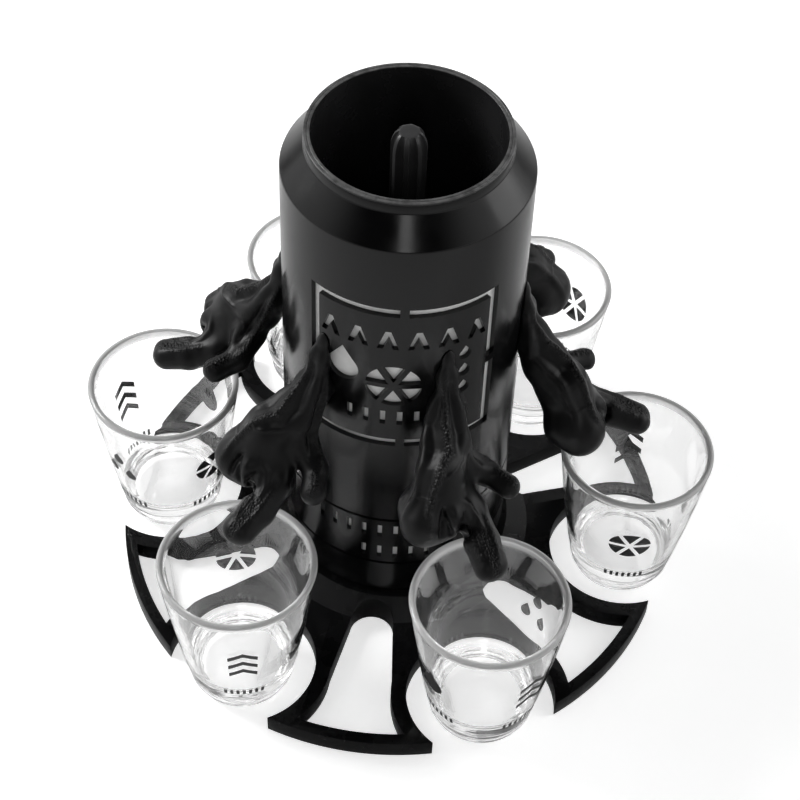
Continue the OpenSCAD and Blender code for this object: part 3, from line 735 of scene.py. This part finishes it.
def label_tools(v):
    """The blocks that cut the motifs inside the frame."""
    reach = wall_reach(v)
    low, high = v.label_z - v.label_h / 2, v.label_z + v.label_h / 2
    blocks = [wall_prism(wheel_wedge(v.wheel_r, k), FRONT + v.wheel_turn, v.label_z - v.wheel_down, reach)
              for k in range(6)]
    blocks.append(wall_prism(drop_outline(v.drop_r), FRONT + v.drop_turn, v.label_z + v.drop_up, reach))
    for i in (-1, 0, 1):
        blocks.append(wall_prism(drop_outline(v.small_drop_r), FRONT + v.column_turn,
                                 v.label_z + v.small_drop_pitch * i, reach))
    for i in range(6):
        blocks.append(wall_prism(chevron_outline(v), FRONT + v.label_turn + v.chevron_step * (i - 2.5),
                                 high - v.row_in, reach))
    dash = np.array([[-0.5, -0.5], [0.5, -0.5], [0.5, 0.5], [-0.5, 0.5]]) * [v.stroke_w, v.dash_h]
    for i in range(-2, 3):
        blocks.append(wall_prism(dash, FRONT + v.dash_step * i, low + v.row_in, reach))
    return blocks


def band_tools(v):
    """The blocks that cut the two rows of ticks."""
    reach = wall_reach(v)
    width, pitch = v.tick_w / CAN_R, v.tick_pitch / CAN_R
    middle = FRONT + v.label_turn
    low, high = v.band_z, v.band_z + v.band_h
    rows = [(5, high - v.tick_in - v.tick_h), (2, low + v.tick_in)]
    ticks = [(middle + i * pitch, z) for count, z in rows for i in range(-count, count + 1)]
    return [swept_slot((at - width / 2, at + width / 2), (z, z + v.tick_h), reach, 2) for at, z in ticks]


class DISPENSER_OT_shell(bpy.types.Operator):
    """Make the can's black shell with its cut-out label"""
    bl_idname = "dispenser.shell"
    bl_label = "Can Shell"

    def execute(self, context):
        v = sizes("shell")
        piece = turned("can_wall", shell_outline(v), 288)
        cut(piece, label_frame(v))
        tools = label_tools(v) + band_tools(v)
        for a in HAND_TURNS.values():
            tools.append(wall_prism(arc((0, 0), v.bore_r, 0, 352.5, 47), a, v.bore_z,
                                    (CAN_R - 4 * MM, CAN_R + 2 * MM)))
        cut(piece, mixed_mesh("cutters", tools))
        smooth_but(piece, SHARP)
        even_faces(piece, v.shoulder_z - 1 * MM)
        dress(piece, printed_plastic("tower"), "tower", "can_shell")
        return {"FINISHED"}


class DISPENSER_OT_inside(bpy.types.Operator):
    """Finish the sleeve, the distributor, the tower's foot and the seals"""
    bl_idname = "dispenser.inside"
    bl_label = "Inner Pieces"

    def execute(self, context):
        finishes = {"inner_sleeve": printed_plastic("sleeve"), "distributor": printed_plastic("cup"),
                    "tower_foot": printed_plastic("tower")}
        seals = ["cup_seal", "stem_seal"] + ["hand_seal_%d" % k for k in STATIONS]
        finishes.update({name: rubber() for name in seals})
        for name, material in finishes.items():
            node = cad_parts[name]
            node.data.materials.clear()
            node.data.materials.append(material)
        return {"FINISHED"}


# ---- cup and stem ----

class DISPENSER_OT_cup(bpy.types.Operator):
    """Make the reservoir cup that hangs in the neck"""
    bl_idname = "dispenser.cup"
    bl_label = "Reservoir Cup"

    def execute(self, context):
        v = sizes("cup")
        neck = sizes("shell")
        rim_z, rim_r = CUP_HIGH.z, CUP_HIGH.x
        outer = neck.neck_r - neck.neck_wall - 0.05 * MM
        inner = outer - v.wall
        groove_z = (CUP_LOW.z + v.under_z) / 2
        groove = arc((v.spout_r + 0.05 * MM - v.groove_d / 2, groove_z), v.groove_d / 2, 275, 85, 12)
        lip = rounded([(rim_r, rim_z - v.lip_h), (rim_r, rim_z), (outer + v.joint / 2, rim_z),
                       (outer, rim_z - v.joint), (outer - v.joint / 2, rim_z), (inner, rim_z),
                       (inner, rim_z - 1 * MM)], 0.12 * MM)
        outline = np.vstack([[(v.seat_r, CUP_LOW.z), (v.spout_r, CUP_LOW.z)], groove,
                             [(v.spout_r, v.under_z), (outer, v.under_z), (outer, rim_z - v.lip_h)], lip,
                             [(inner, v.floor_z + v.fall + 1 * MM), (inner - 1 * MM, v.floor_z + v.fall),
                              (v.seat_r + 1 * MM, v.floor_z), (v.seat_r, v.floor_z - 1 * MM)]])
        piece = turned("cup", outline, 256)
        smooth_but(piece, SHARP)
        dress(piece, printed_plastic("cup"), "tower", "reservoir_cup")
        return {"FINISHED"}


def stem_outline(v):
    """Radius and height along the stem: pin, plug, seal groove, head, shaft and rounded nose."""
    seal_z = (v.pin_top + sizes("cup").floor_z) / 2
    groove = arc((v.seal_out - v.seal_d / 2, seal_z), v.seal_d / 2, 285, 75, 10)
    nose = arc((0, 0), 1, 0, 90, 16)
    nose = np.column_stack([v.tip_r + (v.radius - v.tip_r) * nose[:, 0],
                            STEM_HIGH.z - v.nose_h + v.nose_h * nose[:, 1]])
    shaft_low = v.plug_z + v.head_h
    shaft = [(v.radius, z) for z in np.linspace(shaft_low + 1 * MM, STEM_HIGH.z - v.nose_h, 30)]
    head_z = v.plug_z + (v.head_r - v.plug_r) * 0.65
    return np.vstack([[(0, STEM_LOW.z), (v.pin_r - 0.4 * MM, STEM_LOW.z), (v.pin_r, STEM_LOW.z + 0.4 * MM),
                       (v.pin_r, v.pin_top), (v.plug_r, v.pin_top)], groove,
                      [(v.plug_r, v.plug_z), (v.head_r, head_z), (v.head_r, head_z + 0.3 * MM),
                       (v.radius, shaft_low)], shaft, nose[1:], [(0, STEM_HIGH.z)]])


class DISPENSER_OT_stem(bpy.types.Operator):
    """Make the fluted stem with its plug and pin"""
    bl_idname = "dispenser.stem"
    bl_label = "Valve Stem"

    def execute(self, context):
        v = sizes("stem")
        outline = stem_outline(v)
        # The radius is the outline's or, inside a flute, the flute's own circle, whichever is less.
        angle = np.linspace(0, 2 * pi, 32 * v.flutes, endpoint=False)
        pitch = 2 * pi / v.flutes
        off = (angle - FRONT) % pitch - pitch / 2
        half = asin(v.flute_r / v.radius)
        root = v.radius * np.cos(off) - np.sqrt(np.maximum(v.flute_r ** 2 - (v.radius * np.sin(off)) ** 2, 0))
        share = np.where(np.abs(off) < half, root / v.radius, 1.0)
        r, z = outline[:, :1], outline[:, 1:]
        r = np.where((z > STEM_HIGH.z - v.flute_l) & (z < STEM_HIGH.z - 0.2 * MM), r * share, r + 0 * angle)
        points = np.stack([r * np.cos(angle), r * np.sin(angle), z + 0 * angle], -1)
        piece = fill_mesh("stem", points, grid_faces(len(outline), len(angle)))
        smooth_but(piece, 32)
        dress(piece, printed_plastic("stem"), "stem", "valve_stem")
        return {"FINISHED"}


# ---- hands ----

def knuckle_place(v):
    """The index knuckle in a hand's own frame: out from the axis, across towards the thumb, and up."""
    tip = np.array([GLASS_RING - v.tip_in, 0, GLASS_H + v.drip_gap + v.finger_r])
    return tip, tip - v.finger_l * np.array([cos(v.finger_fall), 0, -sin(v.finger_fall)])


def soft_min(a, b, blend):
    """The lesser of two fields, with the corner between them filled over the blend's width."""
    h = np.clip(0.5 + 0.5 * (b - a) / blend, 0, 1)
    return b + (a - b) * h - blend * h * (1 - h)


def limb(grid, start, end, r_start, r_end):
    """Distance to a round-ended cone: from the nearest point of its axis, less the radius there."""
    run = end - start
    t = np.clip(((grid - start) @ run) / (run @ run), 0, 1)
    away = grid - start - t[..., None] * run
    return np.sqrt((away ** 2).sum(-1)) - (r_start + (r_end - r_start) * t)


def chain(grid, joints, blend):
    """Limbs through a list of joints, each (out, across, up, radius) in millimetres from the index knuckle."""
    joints = np.array(joints) * MM
    field = None
    for a, b in zip(joints[:-1], joints[1:]):
        one = limb(grid, a[:3], b[:3], a[3], b[3])
        field = one if field is None else soft_min(field, one, blend * MM)
    return field


def hand_field(v, grid, knuckle):
    """The hand as one field: forearm, back, curled fingers, thumb and a flat-sided index flow together."""
    local = grid - knuckle
    arm = chain(local, [(-20.4, 0, 47, 0.2), (-20.2, -0.2, 41, 1.2), (-19, -0.6, 35, 2.3), (-16.6, -1.2, 24, 4.0),
                        (-12, -2.8, 15.6, 5.2), (-8.6, -4.6, 9.2, 4.6), (0, 0.3, 0.4, 4.1)], 3.0)
    index = chain(local, [(0, 0.3, 0.4, 4.1), (8.6, 1, -3.2, 4.1), (15.5, 0.8, -5, 3.9)], 1.0)
    flank = chain(local, [(0, 0.3, 0.4, 4.1), (8.6, -0.6, -3.2, 4.1), (15.9, -0.8, -5.2, 3.9)], 1.0)
    index = soft_min(index, flank, 1.0 * MM)
    body = soft_min(arm, index, 1.5 * MM)
    back = chain(local, [(-16.6, -1.4, 24, 3.8), (-10.8, -4, 17, 4.9), (-5.4, -7, 12.8, 5.4),
                         (1.2, -6.6, 4.0, 5.0)], 4.0)
    middle = chain(local, [(1.2, -6.6, 4.0, 5.0), (2.9, -8.2, 1.0, 3.9)], 1.0)
    ring = chain(local, [(-5.4, -7, 12.8, 5.4), (1.6, -13.8, 3.6, 5.0)], 1.0)
    fist = chain(local, [(-8, -6, 9, 4.2), (-3.6, -12.4, 2.2, 6.2), (0.2, -13.2, 0.6, 6.6)], 1.5)
    body = soft_min(body, soft_min(back, middle, 1.2 * MM), 3.6 * MM)
    body = soft_min(body, ring, 2.6 * MM)
    body = soft_min(body, fist, 3.0 * MM)
    thumb = chain(local, [(-9.4, 0.8, 9, 4.8), (-7.2, 7.2, 5, 3.2), (-1.5, 11.4, 3.8, 3.5)], 2.0)
    return soft_min(body, thumb, 2.4 * MM)


# Ridges and, with a negative height, grooves of a hand's skin: height and half width in millimetres, how rough
# the print is along it, and its course (out, across, up) from the index knuckle in millimetres.
HAND_LINES = (
    # The little finger's side, from the arm's point to the outer knuckle
    (0.8, 1.2, 0.1, ((-19, -1, 42), (-17.5, -3, 36), (-15.5, -6, 22.5), (-11, -8, 19), (-6.5, -11, 17),
                     (-4, -13.5, 13.5), (-1.5, -15.5, 10), (-0.5, -18, 6.5), (0, -19, 3))),
    # The middle crest, down to the ring finger
    (0.9, 0.9, 0.9, ((-18.5, -1.5, 40), (-15.5, -2.5, 31.5), (-12.5, -3, 23.5), (-6.5, -4.5, 19),
                     (-2, -8.5, 17.5), (1, -11.5, 13), (3.5, -13.5, 9.5), (6, -14.5, 2.5))),
    # The broad ridge that runs to the thumb
    (0.6, 1.8, 0.1, ((-18, 1, 40), (-15, 1, 30.5), (-12, 1, 22.5), (-8.5, 1.5, 16.5), (-6, 4, 11),
                     (-4.5, 8.5, 7.5))),
    # The thumb's outer side
    (0.7, 1.0, 0.7, ((-19, 2.5, 32), (-15.5, 3.5, 24), (-12.5, 4, 14.5), (-9.5, 7, 9), (-5.5, 11, 6.5))),
    # The hollows between them
    (-0.8, 1.3, 0, ((-17.5, -3, 33), (-13.5, -5, 22), (-8.5, -7, 19), (-4, -10.5, 16.5))),
    (-1.2, 1.3, 0, ((-17.5, -0.5, 38), (-14, -1, 27), (-10, -1.5, 21), (-5, -3, 17.5))),
    (-1.0, 0.9, 0, ((-16.5, 2.5, 29), (-13, 2.5, 20.5), (-9.5, 3, 14), (-6.5, 6, 9))),
    # The thin edges of the two plates on the back
    (0.3, 0.4, 0, ((-6, -1, 17.5), (-4.5, -2, 17), (-1.5, -4.5, 17), (-0.5, -7.5, 16.5), (-1.5, -8.5, 17))),
    (0.25, 0.4, 0, ((-2.5, -15, 10.5), (0, -14.5, 11.5), (2, -11.5, 11.5), (1.5, -9.5, 12.5))),
    # The fork between the middle and the ring finger, and the fold beside it
    (-1.2, 0.8, 0.2, ((3.5, -9, 10), (5.5, -10.5, 5.5), (6, -11.5, 1))),
    (-0.8, 0.6, 0.2, ((4.5, -9.5, 8), (6.5, -8.5, 4), (6.5, -7.5, 1))),
    (0.5, 1.0, 0, ((3, -6.5, 9), (6, -6.5, 4.5), (6, -6.5, 0))),
    # The gap between the fist and the index, and the hood over the index
    (-1.6, 1.0, 0, ((4, -3.5, 6.5), (7, -4.5, 2.5), (7, -4.5, -0.5), (5, -4.5, -4))),
    (0.5, 0.8, 0, ((2, -4.5, 9), (2.5, -1.5, 6), (5, 0, 3.5), (9, 0.5, 1.5))),
    # The index: two ridges with a rough hollow between them
    (0.4, 1.0, 0.4, ((3.5, 2.5, 3.5), (9, 2.5, 0.5), (16, 2, -2))),
    (0.4, 1.0, 0.6, ((7, -2, 2), (12, -2.5, -0.5), (16, -2, -2))),
    (-0.4, 1.1, 1.0, ((7, 0.5, 1.5), (13, 0.5, -0.5), (19, 0, -2.5), (20.5, 0, -5))),
    # The thumb's nail side, and the fold under its root
    (0.3, 1.4, 1.0, ((-5.5, 9, 8.5), (-1.5, 12, 7.5), (2, 13, 5.5))),
    (-1.3, 0.9, 0.3, ((-4, 6, 4), (0, 8.5, 1.5), (1.5, 10.5, 0.5))),
)


def engrave(field, grid, cell, knuckle):
    """Adds the hand's lines to the field near its surface, each height * exp(-(d / width)^2) with d the distance
    beside the line, fading out towards both ends, and gives how rough the print is there."""
    near = np.abs(field) < 2.4 * MM
    slope = np.stack([part[near] for part in np.gradient(field, cell)], -1)
    slope /= np.linalg.norm(slope, axis=-1)[:, None]
    place = grid[near] - knuckle
    skin = field[near]
    rough = np.zeros_like(skin)
    for height, width, strength, course in HAND_LINES:
        course = np.array(course, np.float32) * MM
        best = np.full(len(skin), 1.0, np.float32)
        along = np.zeros_like(best)
        for i, (a, b) in enumerate(zip(course[:-1], course[1:])):
            run = b - a
            t = np.clip(((place - a) @ run) / (run @ run), 0, 1)
            away = place - a - t[:, None] * run
            deep = (away * slope).sum(-1)
            beside = np.where(np.abs(deep) < 3.5 * MM, (away ** 2).sum(-1) - deep ** 2, 1.0)
            along = np.where(beside < best, (i + t) / (len(course) - 1), along)
            best = np.minimum(best, beside)
        ends = np.clip(4 * np.minimum(along, 1 - along) + 0.15, 0, 1)
        line = ends * np.exp(-best / (width * MM) ** 2)
        skin -= height * MM * line
        rough = np.maximum(rough, strength * line)
    field[near] = skin
    texture = np.zeros_like(field)
    texture[near] = rough
    return texture


def surface_net(field, low, cell):
    """The field's zero surface: one point in each cell that it crosses, at the mean of the crossings on the
    cell's edges, and one quad round each edge of the grid that it crosses."""
    inside = field < 0
    cells = np.array(field.shape) - 1
    total = np.zeros((*cells, 3), np.float32)
    count = np.zeros(cells, np.float32)
    crossed = []
    for axis in range(3):
        first = np.take(field, range(cells[axis]), axis)
        second = np.take(field, range(1, cells[axis] + 1), axis)
        change = (first < 0) != (second < 0)
        t = np.where(change, first / np.where(change, first - second, 1), 0)
        crossed.append((change, np.take(inside, range(cells[axis]), axis)))
        others = [i for i in range(3) if i != axis]
        for shift in ((0, 0), (0, 1), (1, 0), (1, 1)):
            window = [slice(None)] * 3
            place = np.zeros(3)
            for other, move in zip(others, shift):
                window[other] = slice(move, move + cells[other])
                place[other] = move
            hit = change[tuple(window)]
            count += hit
            for i in range(3):
                total[..., i] += hit * (t[tuple(window)] if i == axis else place[i])
    active = count > 0
    number = np.cumsum(active).reshape(active.shape) - 1
    corner = np.argwhere(active)
    points = low + cell * (corner + total[active] / count[active][:, None])
    quads = []
    for axis, (change, starts_inside) in enumerate(crossed):
        b, c = (axis + 1) % 3, (axis + 2) % 3
        at = np.argwhere(change)
        at = at[(at[:, b] > 0) & (at[:, c] > 0) & (at[:, b] < cells[b]) & (at[:, c] < cells[c])]
        back_b, back_c = np.eye(3, dtype=int)[b], np.eye(3, dtype=int)[c]
        ring = np.stack([number[tuple((at - back_b - back_c).T)], number[tuple((at - back_c).T)],
                         number[tuple(at.T)], number[tuple((at - back_b).T)]], -1)
        forward = starts_inside[tuple(at.T)]
        quads.append(np.where(forward[:, None], ring, ring[:, ::-1]))
    return points, np.vstack(quads)


def relax(points, quads, rounds):
    """Moves each point half way to the mean of its neighbours, then about as far back, so that the noise goes
    and the size stays."""
    pairs = np.vstack([quads[:, [i, (i + 1) % 4]] for i in range(4)])
    weight = np.bincount(pairs.ravel(), minlength=len(points))[:, None]
    for _ in range(rounds):
        for share in (0.5, -0.52):
            mean = np.zeros_like(points)
            for i in range(3):
                mean[:, i] = (np.bincount(pairs[:, 0], points[pairs[:, 1], i], len(points))
                              + np.bincount(pairs[:, 1], points[pairs[:, 0], i], len(points)))
            points = points + share * (mean / weight - points)
    return points


def hand_surface(v):
    """Points and quads of one hand that points along +X, with the rough patches' strength at each point."""
    tip, knuckle = knuckle_place(v)
    low = np.array([CAN_R - v.spigot_l - 1 * MM, -26 * MM, 54 * MM])
    high = np.array([tip[0] + 6 * MM, 18 * MM, 118 * MM])
    steps = [np.arange(a, b, v.cell, dtype=np.float32) for a, b in zip(low, high)]
    grid = np.stack(np.meshgrid(*steps, indexing="ij"), -1)
    field = hand_field(v, grid, knuckle.astype(np.float32)).astype(np.float32)
    texture = engrave(field, grid, v.cell, knuckle.astype(np.float32))
    out = np.sqrt(grid[..., 0] ** 2 + grid[..., 1] ** 2)
    field = np.maximum(field, CAN_R + v.fit - out)
    spigot_z = sizes("shell").bore_z
    aside = np.sqrt(grid[..., 1] ** 2 + (grid[..., 2] - spigot_z) ** 2)
    spigot = np.maximum(aside - v.spigot_r, np.maximum(CAN_R - v.spigot_l - grid[..., 0],
                                                       grid[..., 0] - CAN_R - 3 * MM))
    groove_x = CAN_R - v.spigot_l + 2 * v.seal_d
    groove_r = v.spigot_r + v.fit - v.seal_d / 2
    spigot = np.maximum(spigot, v.seal_d / 2 - np.sqrt((aside - groove_r) ** 2 + (grid[..., 0] - groove_x) ** 2))
    field = np.minimum(field, spigot)
    bend = knuckle + np.array([-9, -3, 9]) * MM
    way = [np.array([CAN_R - v.spigot_l - 1 * MM, 0, spigot_z]), np.array([CAN_R + 2.2 * MM, 0, spigot_z]), bend,
           knuckle, tip, tip - [0, 0, 9 * MM]]
    way = [place.astype(np.float32) for place in way]
    for a, b in zip(way[:-1], way[1:]):
        field = np.maximum(field, -limb(grid, a, b, v.channel_r, v.channel_r))
    points, quads = surface_net(field, low, v.cell)
    nearest = np.rint((points - low) / v.cell).astype(int)
    return relax(points, quads, 1), quads, texture[tuple(nearest.T)]


class DISPENSER_OT_hands(bpy.types.Operator):
    """Make the six pointing hands"""
    bl_idname = "dispenser.hands"
    bl_label = "Hands"

    def execute(self, context):
        points, quads, scar = hand_surface(sizes("hand"))
        for k, angle in HAND_TURNS.items():
            placed = points.copy()
            placed[:, :2] = turn_points(points[:, :2], angle)
            piece = fill_mesh("pointing_hand_%d" % k, placed, quads)
            piece.data.attributes.new("scar", "FLOAT", "POINT").data.foreach_set("value", scar.astype(np.float32))
            dress(piece, printed_plastic("hand"), "tower", "hand_%d" % k)
        return {"FINISHED"}


# ---- glasses ----

def glass_side(v, height):
    """The glass's outer radius at a height: a straight cone, bowed by a half sine."""
    t = height / GLASS_H
    return v.foot_r + (GLASS_R - v.foot_r) * t + v.bow * np.sin(pi * t)


def glass_outline(v):
    """Radius and height from the foot's middle, up the outside, over the rim and down to the floor's middle."""
    round_r = v.wall / 2
    foot = [(0, 0.8 * MM), (v.foot_r - v.heel_r - 3 * MM, 0.8 * MM), (v.foot_r - v.heel_r - 1.2 * MM, 0)]
    heel = arc((v.foot_r - v.heel_r, v.heel_r), v.heel_r, -90, 0, 12)
    up = np.linspace(v.heel_r + 1.5 * MM, GLASS_H - 2.2 * MM, 90)
    groove = v.ring_d * np.exp(-((up - v.ring_z) / (v.ring_w / 2)) ** 2)
    side = np.column_stack([glass_side(v, up) - groove, up])
    rim = arc((GLASS_R - round_r, GLASS_H - round_r), round_r, 0, 180, 16)
    well_z = v.floor + v.well_r
    down = np.linspace(GLASS_H - 2.2 * MM, well_z + 1 * MM, 30)
    inner = np.column_stack([glass_side(v, down) - v.wall, down])
    well_out = glass_side(v, well_z) - v.wall
    well = arc((well_out - v.well_r, well_z), v.well_r, 0, -90, 14)
    return np.vstack([foot, heel, side, rim, inner, well, [(0, v.floor + 0.3 * MM)]])


def ink_patch(outline):
    """A filled outline: rings of points that shrink to its middle, with a small cap there."""
    outline = open_loop(outline)
    middle = outline.mean(0)
    rings = np.array([1, 0.7, 0.4, 0.05])[:, None, None] * (outline - middle) + middle
    count = len(outline)
    return rings.reshape(-1, 2), grid_faces(4, count).tolist() + [list(range(3 * count, 4 * count))]


def ink_motifs(v):
    """Four generic motifs round the glass as outlines of (along, up): a citrus wheel, a drop, chevrons and small
    drops, and a row of dashes under each."""
    quarter = GLASS_R * pi / 2 * INK_SHARE
    wheel, drop = v.ink_wheel_r, v.ink_drop_r
    outlines = [wheel_wedge(wheel, k) for k in range(6)]
    outlines.append(drop_outline(drop) + [quarter, -drop / 2])
    for up in (-4.5 * MM, 0, 4.5 * MM):
        for side in (-1, 1):
            stroke = np.array([[0, 2.4], [0, 0.4], [4, -2.4], [4, -0.4]]) * MM * [side, 1]
            outlines.append(stroke[::side] + [2 * quarter, up])
    for across, up in ((-3.4, -2.5), (3.4, -2.5), (0, 3.4)):
        outlines.append(drop_outline(drop / 2) + np.array([across, up]) * MM + [3 * quarter, 0])
    dash = np.array([[-0.5, -1.2], [0.5, -1.2], [0.5, 1.2], [-0.5, 1.2]]) * MM
    for k in range(4):
        for i in range(-3, 4):
            outlines.append(dash + [k * quarter + i * 2 * MM, 13.5 * MM - v.ink_z])
    return outlines


def ink_mesh(v, name, centre, start):
    """The print on one glass: each outline wrapped round its wall, angle = along / radius there."""
    blocks = []
    for outline in ink_motifs(v):
        flat, faces = ink_patch(outline)
        z = v.ink_z + flat[:, 1]
        angle = start + flat[:, 0] / (GLASS_R * INK_SHARE)
        r = glass_side(v, z) + 0.01 * MM
        blocks.append((np.stack([r * np.cos(angle), r * np.sin(angle), z], -1) + centre, faces))
    piece = mixed_mesh(name, blocks)
    skin = piece.modifiers.new("Ink", "SOLIDIFY")
    skin.thickness = v.ink_d
    skin.offset = 1
    apply_modifiers(piece)
    return piece


class DISPENSER_OT_glasses(bpy.types.Operator):
    """Make the six shot glasses with their print"""
    bl_idname = "dispenser.glasses"
    bl_label = "Glasses"

    def execute(self, context):
        v = sizes("glass")
        for k, angle in HAND_TURNS.items():
            centre = np.array([GLASS_RING * cos(angle), GLASS_RING * sin(angle), 0])
            piece = turned("shot_glass_%d" % k, glass_outline(v), 240)
            points = np.empty(3 * len(piece.data.vertices), np.float32)
            piece.data.vertices.foreach_get("co", points)
            piece.data.vertices.foreach_set("co", (points.reshape(-1, 3) + centre).ravel().astype(np.float32))
            smooth_but(piece, GLASS_SHARP)
            dress(piece, clear_glass(), "glass_%d" % k, "glass_%d" % k)
            dress(ink_mesh(v, "glass_print_%d" % k, centre, 2.4 * k), glass_ink(), "glass_%d" % k)
        return {"FINISHED"}


# ---- stage ----

def seen_rays(tree):
    """One for the camera's own rays and for those that pass through glass, otherwise nought."""
    path = tree.nodes.new("ShaderNodeLightPath")
    return maths(tree, "MAXIMUM", path.outputs["Is Camera Ray"], path.outputs["Is Transmission Ray"])


def area_lamp(name, place, aim, size, power):
    """A rectangular soft lamp that points at its aim."""
    lamp = bpy.data.lights.new(name, "AREA")
    lamp.shape = "RECTANGLE"
    lamp.size, lamp.size_y = size
    lamp.energy = power
    holder = bpy.data.objects.new(name, lamp)
    bpy.context.scene.collection.objects.link(holder)
    place, aim = Vector(place), Vector(aim)
    holder.location = place
    holder.rotation_euler = (aim - place).to_track_quat("-Z", "Y").to_euler()
    return holder


class DISPENSER_OT_stage(bpy.types.Operator):
    """Make the camera, the lamps, the world and the floor"""
    bl_idname = "dispenser.stage"
    bl_label = "Stage"

    def execute(self, context):
        v = sizes("studio")
        scene = context.scene
        camera = bpy.data.cameras.new("camera")
        camera.sensor_width = 36
        camera.lens = v.lens
        camera.clip_start = 0.01
        holder = bpy.data.objects.new("camera", camera)
        right, up = Vector(v.right).normalized(), Vector(v.up).normalized()
        turn_ = Matrix((right, up, right.cross(up))).transposed()
        holder.matrix_world = Matrix.Translation(v.eye) @ turn_.to_4x4()
        scene.collection.objects.link(holder)
        scene.camera = holder

        half = v.floor / 2
        corners = ((-half, -half), (half, -half), (half, half), (-half, half))
        floor = fill_mesh("floor", [[x, y, -FLOOR_DROP] for x, y in corners], [[0, 1, 2, 3]])
        material, tree, shader, _ = new_material("floor_paper")
        shader.inputs["Base Color"].default_value = (0.9, 0.9, 0.9, 1)
        shader.inputs["Roughness"].default_value = 0.9
        shader.inputs["Specular IOR Level"].default_value = 0.0
        glow = add_node(tree, "ShaderNodeEmission", {"Color": (1, 1, 1, 1), "Strength": v.glow})
        both = add_node(tree, "ShaderNodeAddShader", {0: shader.outputs[0], 1: glow.outputs[0]})
        output = next(n for n in tree.nodes if n.type == "OUTPUT_MATERIAL")
        mix = add_node(tree, "ShaderNodeMixShader",
                       {0: seen_rays(tree), 1: shader.outputs[0], 2: both.outputs[0]})
        tree.links.new(mix.outputs[0], output.inputs[0])
        floor.data.materials.append(material)

        world = bpy.data.worlds.new("studio")
        scene.world = world
        world.use_nodes = True
        tree = world.node_tree
        tree.nodes.clear()
        output = tree.nodes.new("ShaderNodeOutputWorld")
        # The studio is white round the horizon, up to half way at the sides, and dark overhead and high in front:
        # its level falls with height * (1 - lean * side) + front * how far the direction points to the front.
        way = tree.nodes.new("ShaderNodeTexCoord").outputs["Generated"]
        way = add_node(tree, "ShaderNodeSeparateXYZ", {0: way}).outputs
        lean = maths(tree, "MULTIPLY_ADD", maths(tree, "ABSOLUTE", way["X"]), -v.lean, 1.0)
        front = maths(tree, "MINIMUM", way["Y"], 0.0)
        place = maths(tree, "MULTIPLY_ADD", front, -v.front, maths(tree, "MULTIPLY", way["Z"], lean))
        level = remap(tree, place, v.wall_low, v.wall_high, 1.0, v.ceiling, interpolation_type="SMOOTHSTEP")
        lit = add_node(tree, "ShaderNodeBackground", {"Color": (1, 1, 1, 1), "Strength": level})
        seen = add_node(tree, "ShaderNodeBackground", {"Color": (1, 1, 1, 1), "Strength": 1.0})
        light = add_node(tree, "ShaderNodeMixShader", {0: seen_rays(tree), 1: lit.outputs[0], 2: seen.outputs[0]})
        tree.links.new(light.outputs[0], output.inputs[0])

        middle = (0, 0, 0.08)
        area_lamp("key", (-0.75, 0.15, 0.6), middle, (0.35, 0.35), v.key)
        area_lamp("fill", (0.8, 0.25, 0.5), middle, (0.6, 0.6), v.fill)
        area_lamp("streak", (0.11, -0.79, 0.72), (0, 0, 0.12), (0.16, 0.5), v.streak)
        scene.view_settings.view_transform = "Standard"
        return {"FINISHED"}


class DISPENSER_PT_panel(bpy.types.Panel):
    """The dispenser's pieces and stage"""
    bl_idname = "DISPENSER_PT_panel"
    bl_label = "Dispenser"
    bl_space_type = "VIEW_3D"
    bl_region_type = "UI"
    bl_category = "Dispenser"

    def draw(self, context):
        for operator in OPERATORS:
            self.layout.operator(operator.bl_idname)


OPERATORS = (DISPENSER_OT_stage, DISPENSER_OT_base, DISPENSER_OT_shell, DISPENSER_OT_inside, DISPENSER_OT_cup,
             DISPENSER_OT_stem, DISPENSER_OT_hands, DISPENSER_OT_glasses)


def register():
    for cls in (*GROUPS.values(), *OPERATORS, DISPENSER_PT_panel):
        bpy.utils.register_class(cls)
    for name, group in GROUPS.items():
        setattr(bpy.types.Scene, "dispenser_" + name, PointerProperty(type=group))


def unregister():
    for name in GROUPS:
        delattr(bpy.types.Scene, "dispenser_" + name)
    for cls in (DISPENSER_PT_panel, *reversed(OPERATORS), *reversed(tuple(GROUPS.values()))):
        bpy.utils.unregister_class(cls)


def main():
    """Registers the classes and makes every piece."""
    register()
    for operator in OPERATORS:
        getattr(bpy.ops.dispenser, operator.bl_idname.split(".")[1])()


if __name__ == "__main__":
    main()
